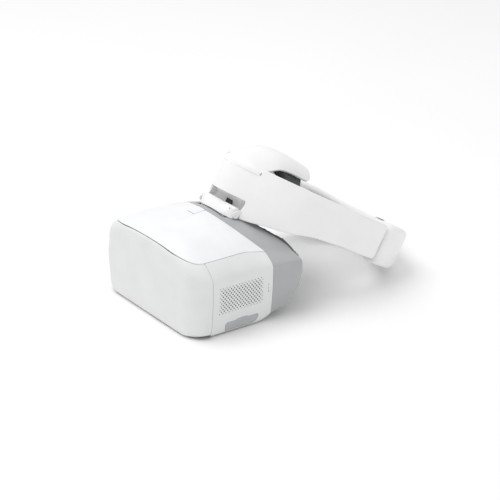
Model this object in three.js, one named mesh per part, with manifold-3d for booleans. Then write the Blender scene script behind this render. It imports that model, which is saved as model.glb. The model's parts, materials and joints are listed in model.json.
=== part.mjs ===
// FPV goggles on a tilting headband, in millimetres. +X is the wearer's left, +Y is back, +Z is up.
// The goggles stand on their feet and the headband's rear cradle rests on the same surface.
import * as THREE from 'three';
import { mergeVertices } from 'three/addons/utils/BufferGeometryUtils.js';
import Module from 'manifold-3d';

const wasm = await Module();
wasm.setup();

// ---- Driving dimensions: goggles -------------------------------------------------------------
const GAP = 0.3; // clearance between neighbouring pieces
const WALL = 2.6; // moulded shell thickness
const HALF_WIDTH = 97.5;
const FLOOR = -3; // surface that the object stands on, before the last line lifts it to zero
const BODY_BOTTOM = -1.5;
const SHOULDER_Z = 62; // widest height of the sides
const CROWN_TOP = 107.5;
const CROWN_R = 144; // arc of the top, seen from the front
const COVER_HALF = 81; // half-width of the top cover
const FRONT_EDGE_Z = 92; // top edge of the front face
const RIDGE_Y = 76; // highest line of the top
const REAR_SLOPE = 0.22; // fall of the top behind the ridge
const CORNER_R = 24; // front corners, seen from above
const SEAM_Y = 24; // seam between the front shell and the side panels
const WHITE_END_Y = 104; // where the side panels meet the rear housing
const WHITE_ARC_R = 128; // plan arc of that meeting line on the top
const REAR_Y = 144; // rear end of the rear housing at its sides
const HEEL_Y = [88, 106]; // where the underside turns up towards the rear
const FACE_R = 102.7; // plan arc of the rim that follows the forehead
const FACE_CENTRE_Y = 214.7;
const FOAM_DEPTH = 11;
const LENS_X = 32;
const LENS_Z = 52;
const LENS_Y = [57, 88]; // front and rear ends of the lens barrels
const LENS_TRAVEL = 3;
const GEAR_Y = 70.5;
const GEAR_TEETH = 16;
const GEAR_MODULE = 1;

// ---- Driving dimensions: headband, in its own frame (X, rearward S, height H) ------------------
const PITCH = THREE.MathUtils.degToRad(31); // the ring slopes down to the rear
const RING_ORIGIN = [0, 92, 100];
const RING_HALF = 99; // half-width of the ring
const RING_LENGTH = 120; // half-length of the ring
const RING_CENTRE = 128; // S of the ring's centre
const NOSE_OUT = 15; // bulge at the centre that holds the hinge
const NOSE_WIDTH = 36;
const ARM_TOP = 66;
const ARM_END = 110; // ring angle where the arm meets the rear cradle, degrees
const ARM_THICK = 11;
const PIN_SH = [4, 8]; // hinge pin in the ring frame (S, H)
const PIN_R = 2;
const BLOCK_HALF = 31; // half-width of the hinge block
const BLOCK_TOP = 14.3;
const RECESS_TOP = 26; // top of the recess above the hinge block
const TONGUE_HALF = 35; // half-width of the crown tongue

// ---- Helpers -----------------------------------------------------------------------------------
const group = new THREE.Group();
const ring = new THREE.Group();
ring.position.set(...RING_ORIGIN);
ring.rotation.x = -PITCH;
group.add(ring);

function solidOf(geometry) {
  const bare = geometry.clone();
  bare.deleteAttribute('normal');
  bare.deleteAttribute('uv');
  const merged = mergeVertices(bare, 1e-4);
  const index = merged.index.array;
  const triangles = [];
  for (let i = 0; i < index.length; i += 3) {
    const [a, b, c] = [index[i], index[i + 1], index[i + 2]];
    if (a !== b && b !== c && c !== a) triangles.push(a, b, c);
  }
  const vertProperties = new Float32Array(merged.attributes.position.array);
  return new wasm.Manifold(new wasm.Mesh({ numProp: 3, vertProperties, triVerts: new Uint32Array(triangles) }));
}

function addPart(name, solid, colour, roughness, parent = group, metalness = 0) {
  const made = solid.getMesh();
  const geometry = new THREE.BufferGeometry();
  geometry.setAttribute('position', new THREE.BufferAttribute(new Float32Array(made.vertProperties), 3));
  geometry.setIndex(new THREE.BufferAttribute(new Uint32Array(made.triVerts), 1));
  geometry.computeVertexNormals();
  const mesh = new THREE.Mesh(geometry, new THREE.MeshStandardMaterial({ color: colour, roughness, metalness }));
  mesh.name = name;
  parent.add(mesh);
}

function warp(geometry, place) {
  const position = geometry.attributes.position;
  for (let i = 0; i < position.count; i += 1) {
    position.setXYZ(i, ...place(position.getX(i), position.getY(i), position.getZ(i)));
  }
  return geometry;
}

const shapeOf = (points) => new THREE.Shape(points.map(([x, y]) => new THREE.Vector2(x, y)));
const range = (count) => Array.from({ length: count + 1 }, (_, i) => i / count);
const mix = (a, b, t) => a + (b - a) * t;
const clamp = THREE.MathUtils.clamp;

function extrude(shape, depth, steps = 1) {
  return new THREE.ExtrudeGeometry(shape, { depth, steps, bevelEnabled: false, curveSegments: 6 });
}

// A profile drawn in X, Y and raised along Z.
function upright(points, z0, z1) {
  return solidOf(extrude(shapeOf(points), z1 - z0).translate(0, 0, z0));
}

// A profile drawn in X, Z and run along Y.
function along(points, y0, y1) {
  return solidOf(extrude(shapeOf(points), y1 - y0).rotateX(Math.PI / 2).translate(0, y1, 0));
}

// A profile drawn in Y, Z and run along X.
function across(points, x0, x1) {
  const turn = new THREE.Matrix4().makeBasis(
    new THREE.Vector3(0, 1, 0), new THREE.Vector3(0, 0, 1), new THREE.Vector3(1, 0, 0));
  return solidOf(extrude(shapeOf(points), x1 - x0).applyMatrix4(turn).translate(x0, 0, 0));
}

function box(x, y, z) {
  const size = [x[1] - x[0], y[1] - y[0], z[1] - z[0]];
  const centre = [(x[0] + x[1]) / 2, (y[0] + y[1]) / 2, (z[0] + z[1]) / 2];
  return solidOf(new THREE.BoxGeometry(...size).translate(...centre));
}

// A round bar along an axis, from one end to the other.
function rod(axis, centre, radius, from, to, sides = 24) {
  const bar = new THREE.CylinderGeometry(radius, radius, to - from, sides);
  if (axis === 'x') bar.rotateZ(-Math.PI / 2).translate((from + to) / 2, centre[0], centre[1]);
  if (axis === 'y') bar.translate(centre[0], (from + to) / 2, centre[1]);
  if (axis === 'z') bar.rotateX(Math.PI / 2).translate(centre[0], centre[1], (from + to) / 2);
  return solidOf(bar);
}

function roundedRect(x0, y0, x1, y1, r, count = 4) {
  const corners = [[x1 - r, y1 - r, 0], [x0 + r, y1 - r, 90], [x0 + r, y0 + r, 180], [x1 - r, y0 + r, 270]];
  return corners.flatMap(([cx, cy, start]) => range(count).map((t) => {
    const angle = THREE.MathUtils.degToRad(start + 90 * t);
    return [cx + r * Math.cos(angle), cy + r * Math.sin(angle)];
  }));
}

// ---- Goggles outer form ------------------------------------------------------------------------
const crown = (x) => CROWN_TOP - CROWN_R + Math.sqrt(CROWN_R ** 2 - x ** 2);
const sideAt = (z) => HALF_WIDTH - 5.5 * (Math.max(SHOULDER_Z - z, 0) / (SHOULDER_Z - BODY_BOTTOM)) ** 2;

function topAt(x, y) {
  if (y > RIDGE_Y) return crown(x) - REAR_SLOPE * (y - RIDGE_Y);
  const ramp = mix(FRONT_EDGE_Z, CROWN_TOP, Math.sin((y / RIDGE_Y) * Math.PI / 2));
  return Math.min(crown(x), ramp);
}

function rearAt(z) {
  const reach = z < 51 ? 13 * ((z - 51) / 42) ** 2 : 4 * ((z - 51) / 23) ** 2;
  return REAR_Y - reach;
}

// How far the underside is raised at a depth.
function heelAt(y) {
  const turn = clamp((y - HEEL_Y[0]) / (HEEL_Y[1] - HEEL_Y[0]), 0, 1);
  return 6.5 * turn ** 1.6 + 0.13 * Math.max(y - HEEL_Y[1], 0);
}

// The front view of the body, shrunk by an inset along its own normals.
function sectionPoints(inset) {
  const floor = BODY_BOTTOM + inset;
  const half = [[0, floor], [60, floor], [sideAt(BODY_BOTTOM) - inset - 3, floor]];
  for (const z of [floor + 3, 24, 44, SHOULDER_Z]) half.push([sideAt(z) - inset, z]);
  const bend = new THREE.CubicBezierCurve(
    new THREE.Vector2(HALF_WIDTH, SHOULDER_Z), new THREE.Vector2(HALF_WIDTH, 70),
    new THREE.Vector2(89, 77.2), new THREE.Vector2(COVER_HALF, crown(COVER_HALF)));
  for (const t of range(4).slice(1)) {
    const [p, run] = [bend.getPoint(t), bend.getTangent(t)];
    half.push([p.x - inset * run.y, p.y + inset * run.x]);
  }
  for (const x of [63, 45, 27, 9, 0]) {
    const rise = crown(x) - CROWN_TOP + CROWN_R;
    half.push([x - (inset * x) / CROWN_R, crown(x) - (inset * rise) / CROWN_R]);
  }
  return [...half, ...half.slice(1, -1).reverse().map(([x, z]) => [-x, z])];
}

// The goggles' body as a solid, shrunk by an inset and run out to the rear by an extension.
function bodyForm(inset, extension = 0, front = inset) {
  const stations = [0, 1.2, 5, 12, CORNER_R, 41, 58, RIDGE_Y, 92, 97, WHITE_END_Y, 122, REAR_Y];
  const steps = stations.length - 1;
  const raw = extrude(shapeOf(sectionPoints(inset)), steps, steps).rotateX(Math.PI / 2).translate(0, steps, 0);
  return solidOf(warp(raw, (x, step, z) => {
    const y = stations[Math.round(step)];
    const turn = Math.max(CORNER_R - y, 0);
    const narrow = 1 - (CORNER_R - Math.sqrt(CORNER_R ** 2 - turn ** 2)) / HALF_WIDTH;
    const nx = x * narrow;
    const full = crown(nx) - SHOULDER_Z;
    const rise = (topAt(nx, y) - SHOULDER_Z) / full;
    const nz = z > SHOULDER_Z ? SHOULDER_Z + (z - SHOULDER_Z) * rise : z;
    const stretch = (rearAt(nz) + extension - WHITE_END_Y) / (REAR_Y - WHITE_END_Y);
    const ny = y > WHITE_END_Y ? WHITE_END_Y + (y - WHITE_END_Y) * stretch : mix(front, WHITE_END_Y, y / WHITE_END_Y);
    const raise = (heelAt(ny) * Math.max(SHOULDER_Z - nz, 0)) / (SHOULDER_Z - BODY_BOTTOM);
    return [nx, ny, nz + raise];
  }));
}

// The plan of the white pieces: everything in front of the curved meeting line.
function whitePlan(shift) {
  const sag = (x) => WHITE_ARC_R - Math.sqrt(WHITE_ARC_R ** 2 - x ** 2);
  const arc = range(10).map((t) => mix(COVER_HALF, -COVER_HALF, t)).map((x) => [x, RIDGE_Y + sag(x) + shift]);
  return [[-130, -10], [130, -10], [130, WHITE_END_Y + shift], ...arc, [-130, WHITE_END_Y + shift]];
}

const outer = bodyForm(0);
const inner = bodyForm(WALL);
const whiteRegion = upright(whitePlan(0), -10, 130);
const greyCut = upright(whitePlan(GAP), -10, 130);
const forehead = rod('z', [0, FACE_CENTRE_Y], FACE_R, -20, 140, 40);

const hollow = inner.add(upright(roundedRect(-84.3, 6.3, 84.3, 140, 18.3, 5), -10, 40));
const whiteShell = outer.intersect(whiteRegion).subtract(hollow);

// The hole in the white shell that the top cover closes.
const coverPlan = (grow) => [
  ...roundedRect(-COVER_HALF - grow, 4 - grow, COVER_HALF + grow, WHITE_END_Y + 20, 9, 4)];
const coverZone = upright(coverPlan(GAP / 2), 70, 130);
const frontZone = box([-120, 120], [-5, SEAM_Y], [-5, 130]);
const frontShell = whiteShell.intersect(frontZone).subtract(coverZone);
addPart('front_shell', frontShell, 0xf1f2f2, 0.5);

const RELEASE = { x: 6.8, y: [61, 72], depth: 7 };
const releaseHole = box([-RELEASE.x - GAP, RELEASE.x + GAP], [RELEASE.y[0] - GAP, RELEASE.y[1] + GAP], [80, 130]);
const topCover = outer.subtract(bodyForm(WALL - 0.4)).intersect(whiteRegion)
  .intersect(upright(coverPlan(-GAP / 2), 72, 130)).subtract(releaseHole);
addPart('top_cover', topCover, 0xf4f5f6, 0.45);

// ---- Side panels -------------------------------------------------------------------------------
const VENT = { y: [30, 93], z: [21, 59] };
const PORT = { y: [42, 86], z: [1.6, 11.6] };
const PAD = { y: [34, 84], z: [26, 66] };
const PAD_DEPTH = 1.3;
const BUTTON_Y = [50, 66];
const BUTTON_Z = 14;
const sideZone = box([0, 130], [SEAM_Y + GAP, 130], [-5, 130]);
const sidePanel = whiteShell.intersect(sideZone).subtract(coverZone);
const zoneYZ = (area, grow, radius) => roundedRect(
  area.y[0] - grow, area.z[0] - grow, area.y[1] + grow, area.z[1] + grow, radius);
const leftPanel = sidePanel.subtract(across(zoneYZ(VENT, GAP / 2, 5), 80, 120))
  .subtract(across(zoneYZ(PORT, GAP / 2, 3), 84, 120));
addPart('left_side_panel', leftPanel, 0xf1f2f2, 0.5);

// The right panel is shaped on the left and mirrored, with a shallow seat for the touch pad and two button holes.
const shellSkin = (from, to) => bodyForm(from).subtract(bodyForm(to));
const padSeat = across(zoneYZ(PAD, GAP / 2, 8), 80, 130).subtract(bodyForm(PAD_DEPTH));
let rightPanel = sidePanel.subtract(padSeat);
for (const y of BUTTON_Y) rightPanel = rightPanel.subtract(rod('x', [y, BUTTON_Z], 4 + GAP, 80, 130, 16));
addPart('right_side_panel', rightPanel.mirror([1, 0, 0]), 0xf1f2f2, 0.5);
const padSkin = shellSkin(0, PAD_DEPTH - GAP).intersect(across(zoneYZ(PAD, -GAP / 2, 8), 80, 130));
addPart('touch_pad', padSkin.mirror([1, 0, 0]), 0xe9eaea, 0.4);

// The vent grille fills the window in the left panel with slanted slots.
let grille = shellSkin(0, 1.6).intersect(across(zoneYZ(VENT, -GAP / 2, 5), 80, 120));
for (const row of range(7)) {
  const z = mix(VENT.z[0] + 5, VENT.z[1] - 5, row);
  grille = grille.subtract(box([80, 120], [VENT.y[0] + 5, VENT.y[1] - 5], [z - 1, z + 1]));
}
addPart('vent_grille', grille, 0xeceded, 0.5);

// ---- Port cover and ports ----------------------------------------------------------------------
const skinLeft = shellSkin(0, 2).intersect(box([89.6, 120], [30, 100], [BODY_BOTTOM + GAP, 60]));
addPart('port_cover', skinLeft.intersect(across(zoneYZ(PORT, -GAP / 2, 2.5), 80, 120)), 0xbcbfc0, 0.6);

const SOCKETS = [[47, 4], [57, 6], [68, 5], [78, 3]]; // centre Y and half-width of each socket mouth
let ports = box([78, 88], [43, 85], [3.4, 10.6]);
for (const [y, half] of SOCKETS) ports = ports.subtract(box([82, 90], [y - half, y + half], [5.4, 8.8]));
addPart('port_block', ports, 0x2b2c2e, 0.6);

// ---- Rear housing, foam and base ---------------------------------------------------------------
// The face opening, with the notch for the nose at its bottom edge.
const noseNotch = [[-22, -20], [22, -20], [21, 8], [11, 34], [-11, 34], [-21, 8]];
const faceOpening = along(roundedRect(-76, 16, 76, 85, 26, 5), 96, 200).add(along(noseNotch, 100, 200));
const HOUSING_MOUTH = { x: 27, y: [85, 106] }; // opening in the top for the hinge block's foot
const blockMouth = box([-HOUSING_MOUTH.x, HOUSING_MOUTH.x], HOUSING_MOUTH.y, [80, 120]);
const rearHousing = outer.subtract(greyCut).subtract(bodyForm(4.5, -5).add(box([-82, 82], [60, 122], [-10, 40])))
  .subtract(forehead).subtract(faceOpening).subtract(blockMouth);
addPart('rear_housing', rearHousing, 0xb4b7b9, 0.55);

const foamBody = bodyForm(1.8, FOAM_DEPTH).subtract(rod('z', [0, FACE_CENTRE_Y], FACE_R - FOAM_DEPTH, -20, 140, 40));
const foamSeat = bodyForm(0, GAP, 0).subtract(rod('z', [0, FACE_CENTRE_Y], FACE_R - GAP, -20, 140, 40));
const foamOpening = along(roundedRect(-71, 20, 71, 80, 26, 5), 96, 200).add(along(noseNotch, 100, 200));
const foam = foamBody.subtract(foamSeat.add(box([-130, 130], [-10, 108], [-10, 130]))).subtract(foamOpening);
addPart('face_foam', foam, 0x3c3e40, 0.95);

const flapShape = [[-20, 6], [-13, 6], [-5, 25], [5, 25], [13, 6], [20, 6], [20, 9], [11, 35], [-11, 35], [-20, 9]];
addPart('nose_flap', along(flapShape, 97.5, 99.3), 0x2f3032, 0.9);

const basePlan = roundedRect(-84, 6.6, 84, 96, 18, 5);
const WHEEL_R = 11;
const basePlate = upright(basePlan, -2, 3).subtract(box([-76, 76], [14, 88], [-0.2, 10]))
  .subtract(rod('z', [0, GEAR_Y], WHEEL_R + 1, -5, 20, 32));
addPart('base_plate', basePlate, 0x4a4c4e, 0.7);
const FEET = [[-62, 20], [62, 20], [-62, 84], [62, 84]];
FEET.forEach(([x, y], i) => addPart(`foot_${i + 1}`, rod('z', [x, y], 6, FLOOR, -2.1, 12), 0x2a2b2c, 0.9));

// ---- Optics ------------------------------------------------------------------------------------
const EYE_PANEL_Y = [84, 86.5];
const slot = (x) => roundedRect(x - 22 - LENS_TRAVEL, LENS_Z - 22, x + 22 + LENS_TRAVEL, LENS_Z + 22, 21.9, 6);
const nosePillar = 3; // half-width of the bar between the two lens slots
let eyePanel = bodyForm(5.2).intersect(box([-120, 120], EYE_PANEL_Y, [12, 130]));
for (const side of [-1, 1]) {
  const clearSlot = along(slot(side * LENS_X), 80, 90);
  eyePanel = eyePanel.subtract(clearSlot.intersect(box(
    side > 0 ? [nosePillar, 80] : [-80, -nosePillar], [80, 90], [0, 120])));
}
addPart('eyepiece_panel', eyePanel, 0x1d1e20, 0.8);

// A toothed outline: trapezoid teeth with play on both flanks.
function gearOutline(teeth, module, play) {
  const pitch = (teeth * module) / 2;
  const step = (2 * Math.PI) / teeth;
  const tooth = [[-0.36, -1.15], [-0.13, 0.8], [0.13, 0.8], [0.36, -1.15]];
  return range(teeth).slice(0, -1).flatMap((t) => tooth.map(([turn, rise]) => {
    const angle = t * 2 * Math.PI + turn * step * (1 - play);
    const r = pitch + rise * module;
    return [r * Math.cos(angle), r * Math.sin(angle)];
  }));
}

// A straight rack along X whose teeth point along `up`, meshing with the gear at rest.
function rack(x0, x1, pitchY, up, phase, z0, z1) {
  const pitch = Math.PI * GEAR_MODULE;
  const points = [[x0, pitchY - up * 3.4]];
  const first = Math.ceil((x0 + 1.2 - phase) / pitch);
  const last = Math.floor((x1 - 1.2 - phase) / pitch);
  for (let i = first; i <= last; i += 1) {
    const x = phase + i * pitch;
    points.push([x - 0.95, pitchY - up * 1.15], [x - 0.33, pitchY + up * 0.75]);
    points.push([x + 0.33, pitchY + up * 0.75], [x + 0.95, pitchY - up * 1.15]);
  }
  points.push([x1, pitchY - up * 1.15], [x1, pitchY - up * 3.4]);
  points.splice(1, 0, [x0, pitchY - up * 1.15]);
  return upright(up > 0 ? points.reverse() : points, z0, z1);
}

const GEAR_R = (GEAR_TEETH * GEAR_MODULE) / 2;
const GEAR_Z = [12, 16];
const quarter = Math.PI / 2;
const turnBy = (quarter * GEAR_TEETH) / (2 * Math.PI) % 1; // tooth phase at the two racks
const gear = upright(gearOutline(GEAR_TEETH, GEAR_MODULE, 0.1), GEAR_Z[0], GEAR_Z[1]).translate([0, GEAR_Y, 0]);
const wheel = rod('z', [0, GEAR_Y], WHEEL_R, -2.6, 3.4, 24);
let ipdWheel = gear.add(rod('z', [0, GEAR_Y], 3, 3, 13, 12)).add(wheel);
for (const t of range(12).slice(0, -1)) {
  const angle = t * 2 * Math.PI;
  ipdWheel = ipdWheel.subtract(rod('z', [WHEEL_R * Math.cos(angle), GEAR_Y + WHEEL_R * Math.sin(angle)], 0.7, -3, 4, 6));
}
addPart('ipd_wheel', ipdWheel, 0x3a3b3d, 0.7);

const lensProfile = [[0, -5], [11, -3.6], [19, -1], [19, 1], [11, 3.6], [0, 5]];
for (const side of [1, -1]) {
  const name = side > 0 ? 'left' : 'right';
  const x = side * LENS_X;
  const rackY = GEAR_Y - side * GEAR_R;
  const bore = rod('y', [x, LENS_Z], 19.5, LENS_Y[0] - 1, LENS_Y[1] + 1, 20);
  const tube = rod('y', [x, LENS_Z], 21.3, LENS_Y[0], LENS_Y[1], 20).subtract(bore);
  const post = box([x - 3, x + 3], [rackY - side * 3.4 - 1.5, rackY - side * 3.4 + 1.5], [GEAR_Z[0], LENS_Z - 20.2]);
  const postBox = post.subtract(bore);
  const reach = side > 0 ? [-13, x + 3] : [x - 3, 13];
  const bar = rack(reach[0], reach[1], rackY, side, (0.5 - turnBy) * Math.PI * GEAR_MODULE, GEAR_Z[0], GEAR_Z[1]);
  addPart(`${name}_lens_barrel`, tube.add(postBox).add(bar), 0x26272a, 0.6);
  const lens = new THREE.LatheGeometry(lensProfile.map(([r, y]) => new THREE.Vector2(r, y)), 20);
  addPart(`${name}_lens`, solidOf(lens).translate([x, 80, LENS_Z]), 0xbfd0dc, 0.05);
}

addPart('display_panel', box([-62, 62], [12, 54], [84.6, 87.4]), 0x0c0d10, 0.2);
const tilted = (y, z, length, thick, half) => across([
  [y, z], [y + length, z + length], [y + length - thick, z + length + thick], [y - thick, z + thick]], -half, half);
addPart('beam_splitter', tilted(18, 26, 36, 1.2, 60), 0xa9c4cc, 0.05);
addPart('mirror_plate', box([-58, 58], [14, 16], [30, 76]), 0xd0d4d8, 0.08, group, 1);
addPart('main_board', box([-70, 70], [9.5, 11.1], [14, 80]), 0x1f5a3c, 0.6);
let sink = box([-30, 30], [5.2, 9], [34, 74]);
for (const row of range(7).slice(1, -1)) {
  const x = mix(-30, 30, row);
  sink = sink.subtract(box([x - 1.2, x + 1.2], [4, 7.6], [30, 80]));
}
addPart('heat_sink', sink, 0xb8bcc0, 0.35, group, 1);
addPart('proximity_window', box([-2.4, 2.4], [86.8, 88], [58, 66]), 0x111214, 0.2);

// ---- Fan and speakers --------------------------------------------------------------------------
const FAN = { y: 52, z: 40, half: 16, x: [76, 85] };
const fanFrame = box(FAN.x, [FAN.y - FAN.half, FAN.y + FAN.half], [FAN.z - FAN.half, FAN.z + FAN.half]);
const fanBore = rod('x', [FAN.y, FAN.z], FAN.half - 1.4, FAN.x[0] + 1.5, FAN.x[1] + 1, 20);
const fanInlet = rod('x', [FAN.y, FAN.z], FAN.half - 4, FAN.x[0] - 1, FAN.x[1] + 1, 20);
addPart('fan_housing', fanFrame.subtract(fanBore).subtract(fanInlet), 0x1b1c1e, 0.6);
let rotor = rod('x', [FAN.y, FAN.z], 5, FAN.x[0] + 2, FAN.x[1] - 0.5, 16);
const BLADES = 7;
for (const t of range(BLADES).slice(0, -1)) {
  const blade = new THREE.BoxGeometry(5.5, 1, 9).rotateZ(0.5).translate(0, 0, 9)
    .rotateX(t * 2 * Math.PI).translate(FAN.x[0] + 5.2, FAN.y, FAN.z);
  rotor = rotor.add(solidOf(blade));
}
addPart('fan_rotor', rotor, 0x2a2b2e, 0.5);
const SPEAKER = { y: 72, z: 66, r: 7 };
addPart('left_speaker', rod('x', [SPEAKER.y, SPEAKER.z], SPEAKER.r, 80, 88, 16), 0x222326, 0.6);
addPart('right_speaker', rod('x', [SPEAKER.y, SPEAKER.z], SPEAKER.r, -88, -80, 16), 0x222326, 0.6);

// ---- Buttons on the goggles --------------------------------------------------------------------
const releaseTop = outer.intersect(box([-RELEASE.x, RELEASE.x], RELEASE.y, [80, 130]))
  .subtract(bodyForm(1.8)).translate([0, 0, 0.6]);
const releaseStem = box([-4, 4], [63, 70], [97, 106]).intersect(bodyForm(0.8));
addPart('release_button', releaseTop.add(releaseStem), 0xf4f5f6, 0.45);
['back_button', 'function_button'].forEach((name, i) => {
  const face = sideAt(BUTTON_Z) + 0.5;
  addPart(name, rod('x', [BUTTON_Y[i], BUTTON_Z], 4, -face, -face + 6, 16), 0xd6d8d9, 0.45);
});

// ---- Headband mount ----------------------------------------------------------------------------
const SOCKET = { x: 26, y: [86.5, 104.5], z: [80, 94] };
const FOOT = { x: 22, y: [89, 102], z: 84 };
const socket = box([-SOCKET.x, SOCKET.x], SOCKET.y, SOCKET.z).subtract(box(
  [-FOOT.x - GAP, FOOT.x + GAP], [FOOT.y[0] - GAP, FOOT.y[1] + GAP], [FOOT.z - GAP, 100]));
addPart('headband_socket', socket, 0x5b5d60, 0.6);

// ---- Headband ring -----------------------------------------------------------------------------
// A point on the ring's plan curve, moved inwards by an inset; the angle is 0 at the front.
function ringPoint(degrees, inset = 0) {
  const at = (angle) => {
    const x = RING_HALF * Math.sin(angle);
    const nose = Math.cos(angle) > 0 ? NOSE_OUT * Math.exp(-((x / NOSE_WIDTH) ** 2)) : 0;
    return [x, RING_CENTRE - RING_LENGTH * Math.cos(angle) - nose];
  };
  const angle = THREE.MathUtils.degToRad(degrees);
  const [p, q, r] = [at(angle), at(angle - 1e-3), at(angle + 1e-3)];
  const length = Math.hypot(r[0] - q[0], r[1] - q[1]);
  const normal = [(r[1] - q[1]) / length, -(r[0] - q[0]) / length];
  return { point: [p[0] - inset * normal[0], p[1] - inset * normal[1]], normal };
}

function band(from, to, near, far, h0, h1, count) {
  const outside = range(count).map((t) => ringPoint(mix(from, to, t), near).point);
  const inside = range(count).map((t) => ringPoint(mix(to, from, t), far).point);
  return upright([...outside, ...inside], h0, h1);
}

// The side view of the ring: the lower edge rises from the front, and the upper edge is level.
const LOWER_EDGE = [[-30, 5], [12, 5], [28, 9.5], [46, 13], [75, 21], [110, 24], [200, 24], [225, 24.5], [248, 28.95], [270, 28.95]];
const sideView = (margin) => across([
  ...LOWER_EDGE.map(([sPos, h]) => [sPos, h + margin]), [270, ARM_TOP - margin], [-30, ARM_TOP - margin]], -130, 130);
const toWorld = (solid) => solid.rotate([-THREE.MathUtils.radToDeg(PITCH), 0, 0]).translate(RING_ORIGIN);

// The crown tongue: a centre line and a side edge, joined by a parabola across the width.
const TONGUE_CENTRE = [[-7, 58], [-5.5, 66], [2.6, 73.4], [16, 83], [31, 89.5], [48, 91.5], [66, 90.4], [84, 88]];
const TONGUE_EDGE = [[9.5, 58], [10.5, 62], [18.5, 66], [30.5, 71.9], [40, 74], [54, 74.2], [68, 73.6], [84, 72.3]];
const splineOf = (points) => new THREE.SplineCurve(points.map(([a, b]) => new THREE.Vector2(a, b)));
const [centreLine, edgeLine] = [splineOf(TONGUE_CENTRE), splineOf(TONGUE_EDGE)];

function tonguePoint(x, u) {
  const [c, e] = [centreLine.getPoint(u), edgeLine.getPoint(u)];
  const k = (x / TONGUE_HALF) ** 2;
  return new THREE.Vector3(x, mix(c.x, e.x, k), mix(c.y, e.y, k));
}

// A sheet under the tongue's surface, between two depths, from u0 to u1 along its length.
function tongueSheet(half, u0, u1, near, far, cornerR, nx, nu) {
  const sheet = new THREE.BoxGeometry(2, 1, 1, nx, nu, 1);
  return solidOf(warp(sheet, (sx, sy, sz) => {
    const u = mix(u0, u1, clamp(sy + 0.5, 0, 1));
    const left = Math.max(cornerR - (u1 - u), 0) / cornerR;
    const x = sx * half * (1 - (1 - Math.sqrt(1 - 0.98 * left ** 2)) * 0.42);
    const e = 1e-3;
    const run = tonguePoint(x, Math.min(u + e, 1)).sub(tonguePoint(x, Math.max(u - e, 0)));
    const span = tonguePoint(x + 0.1, u).sub(tonguePoint(x - 0.1, u));
    const up = span.cross(run).normalize();
    const p = tonguePoint(x, u).addScaledVector(up, -mix(far, near, sz + 0.5));
    return [p.x, p.y, p.z];
  }));
}

const WINDOW_HALF = 34;
const blockWindow = box([-WINDOW_HALF, WINDOW_HALF], [-40, 24], [-20, RECESS_TOP]);
const POWER_ANGLE = -70;
const POWER_H = 46;
function armRod(degrees, h, radius, near, far, sides = 16) {
  const { point, normal } = ringPoint(degrees);
  const turn = THREE.MathUtils.radToDeg(Math.atan2(normal[1], normal[0]));
  return rod('x', [0, 0], radius, -far, -near, sides).rotate([0, 0, turn]).translate([point[0], point[1], h]);
}
const lightZone = (grow) => band(-78.5 - grow / 2, -76.5 + grow / 2, -1, 1.5, 38 - grow, 54 + grow, 1);
const chargeMouth = band(-94.4, -89.6, -1, 4, 26.9, 31.6, 1);

const armShell = band(-ARM_END, ARM_END, 0, 2.5, -10, 80, 40).intersect(sideView(0)).subtract(blockWindow);
const shell = armShell.add(tongueSheet(TONGUE_HALF, 0, 1, 0, 2.5, 0.14, 10, 13))
  .subtract(armRod(POWER_ANGLE, POWER_H, 6 + GAP, -2, 6)).subtract(lightZone(GAP)).subtract(chargeMouth);
addPart('headband_shell', shell, 0xf4f4f4, 0.5, ring);

// ---- Hinge block, pin and bracket --------------------------------------------------------------
const blockSide = [[-13, -14], [-9.5, -3.5], [-1.5, 14], [2, 15.6], [7, 15.2], [11.5, 9.5], [12.5, -6], [12.5, -14]];
const blockFront = range(12).map((t) => mix(-BLOCK_HALF, BLOCK_HALF, t))
  .map((x) => [x, -8.4 + 9.4 * (x / BLOCK_HALF) ** 2]);
const blockPlan = [...blockFront, [BLOCK_HALF, 20], [-BLOCK_HALF, 20]];
const pinHole = rod('x', PIN_SH, PIN_R + 0.08, -60, 60, 16);
const blockBody = toWorld(across(blockSide, -BLOCK_HALF, BLOCK_HALF).intersect(upright(blockPlan, -30, 30))
  .intersect(box([-50, 50], [-30, 30], [-14, BLOCK_TOP + 2])).subtract(pinHole));
const blockFoot = box([-FOOT.x, FOOT.x], FOOT.y, [FOOT.z, 106]).subtract(toWorld(pinHole));
addPart('hinge_block', blockBody.subtract(outer.translate([0, 0, GAP])).add(blockFoot), 0xf6f6f6, 0.5);
addPart('hinge_pin', rod('x', PIN_SH, PIN_R, -33.3, 33.3, 16), 0xb9bcbf, 0.3, ring, 1);
const bracketSide = [[-1, 8], [0.5, 4.4], [4, 3], [7.5, 4.4], [9.5, 12], [18.5, 12], [18.5, 24], [0, 24]];
const bracket = across(bracketSide, -33.5, 33.5).subtract(box([-31.6, 31.6], [-10, 16], [-5, 21.8]))
  .subtract(pinHole);
addPart('tilt_bracket', bracket, 0xeff0f0, 0.5, ring);

// ---- Soft pads ---------------------------------------------------------------------------------
const headCurve = (from, to, halfX, halfS) => range(14).map((t) => {
  const angle = THREE.MathUtils.degToRad(mix(from, to, t));
  return [halfX * Math.sin(angle), RING_CENTRE - halfS * Math.cos(angle)];
});
const padOuter = range(16).map((t) => ringPoint(mix(-56, 56, t), 3).point);
const foreheadPad = upright([...padOuter, ...headCurve(56, -56, 83, 103)], 16, 57).intersect(sideView(2))
  .subtract(box([-36, 36], [-40, 19], [-20, 28]));
addPart('forehead_pad', foreheadPad, 0x46494a, 0.95, ring);
const crownPad = tongueSheet(46, 0.46, 0.96, 3, 12, 0.1, 8, 6);
addPart('crown_pad', crownPad, 0x46494a, 0.95, ring);

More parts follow.
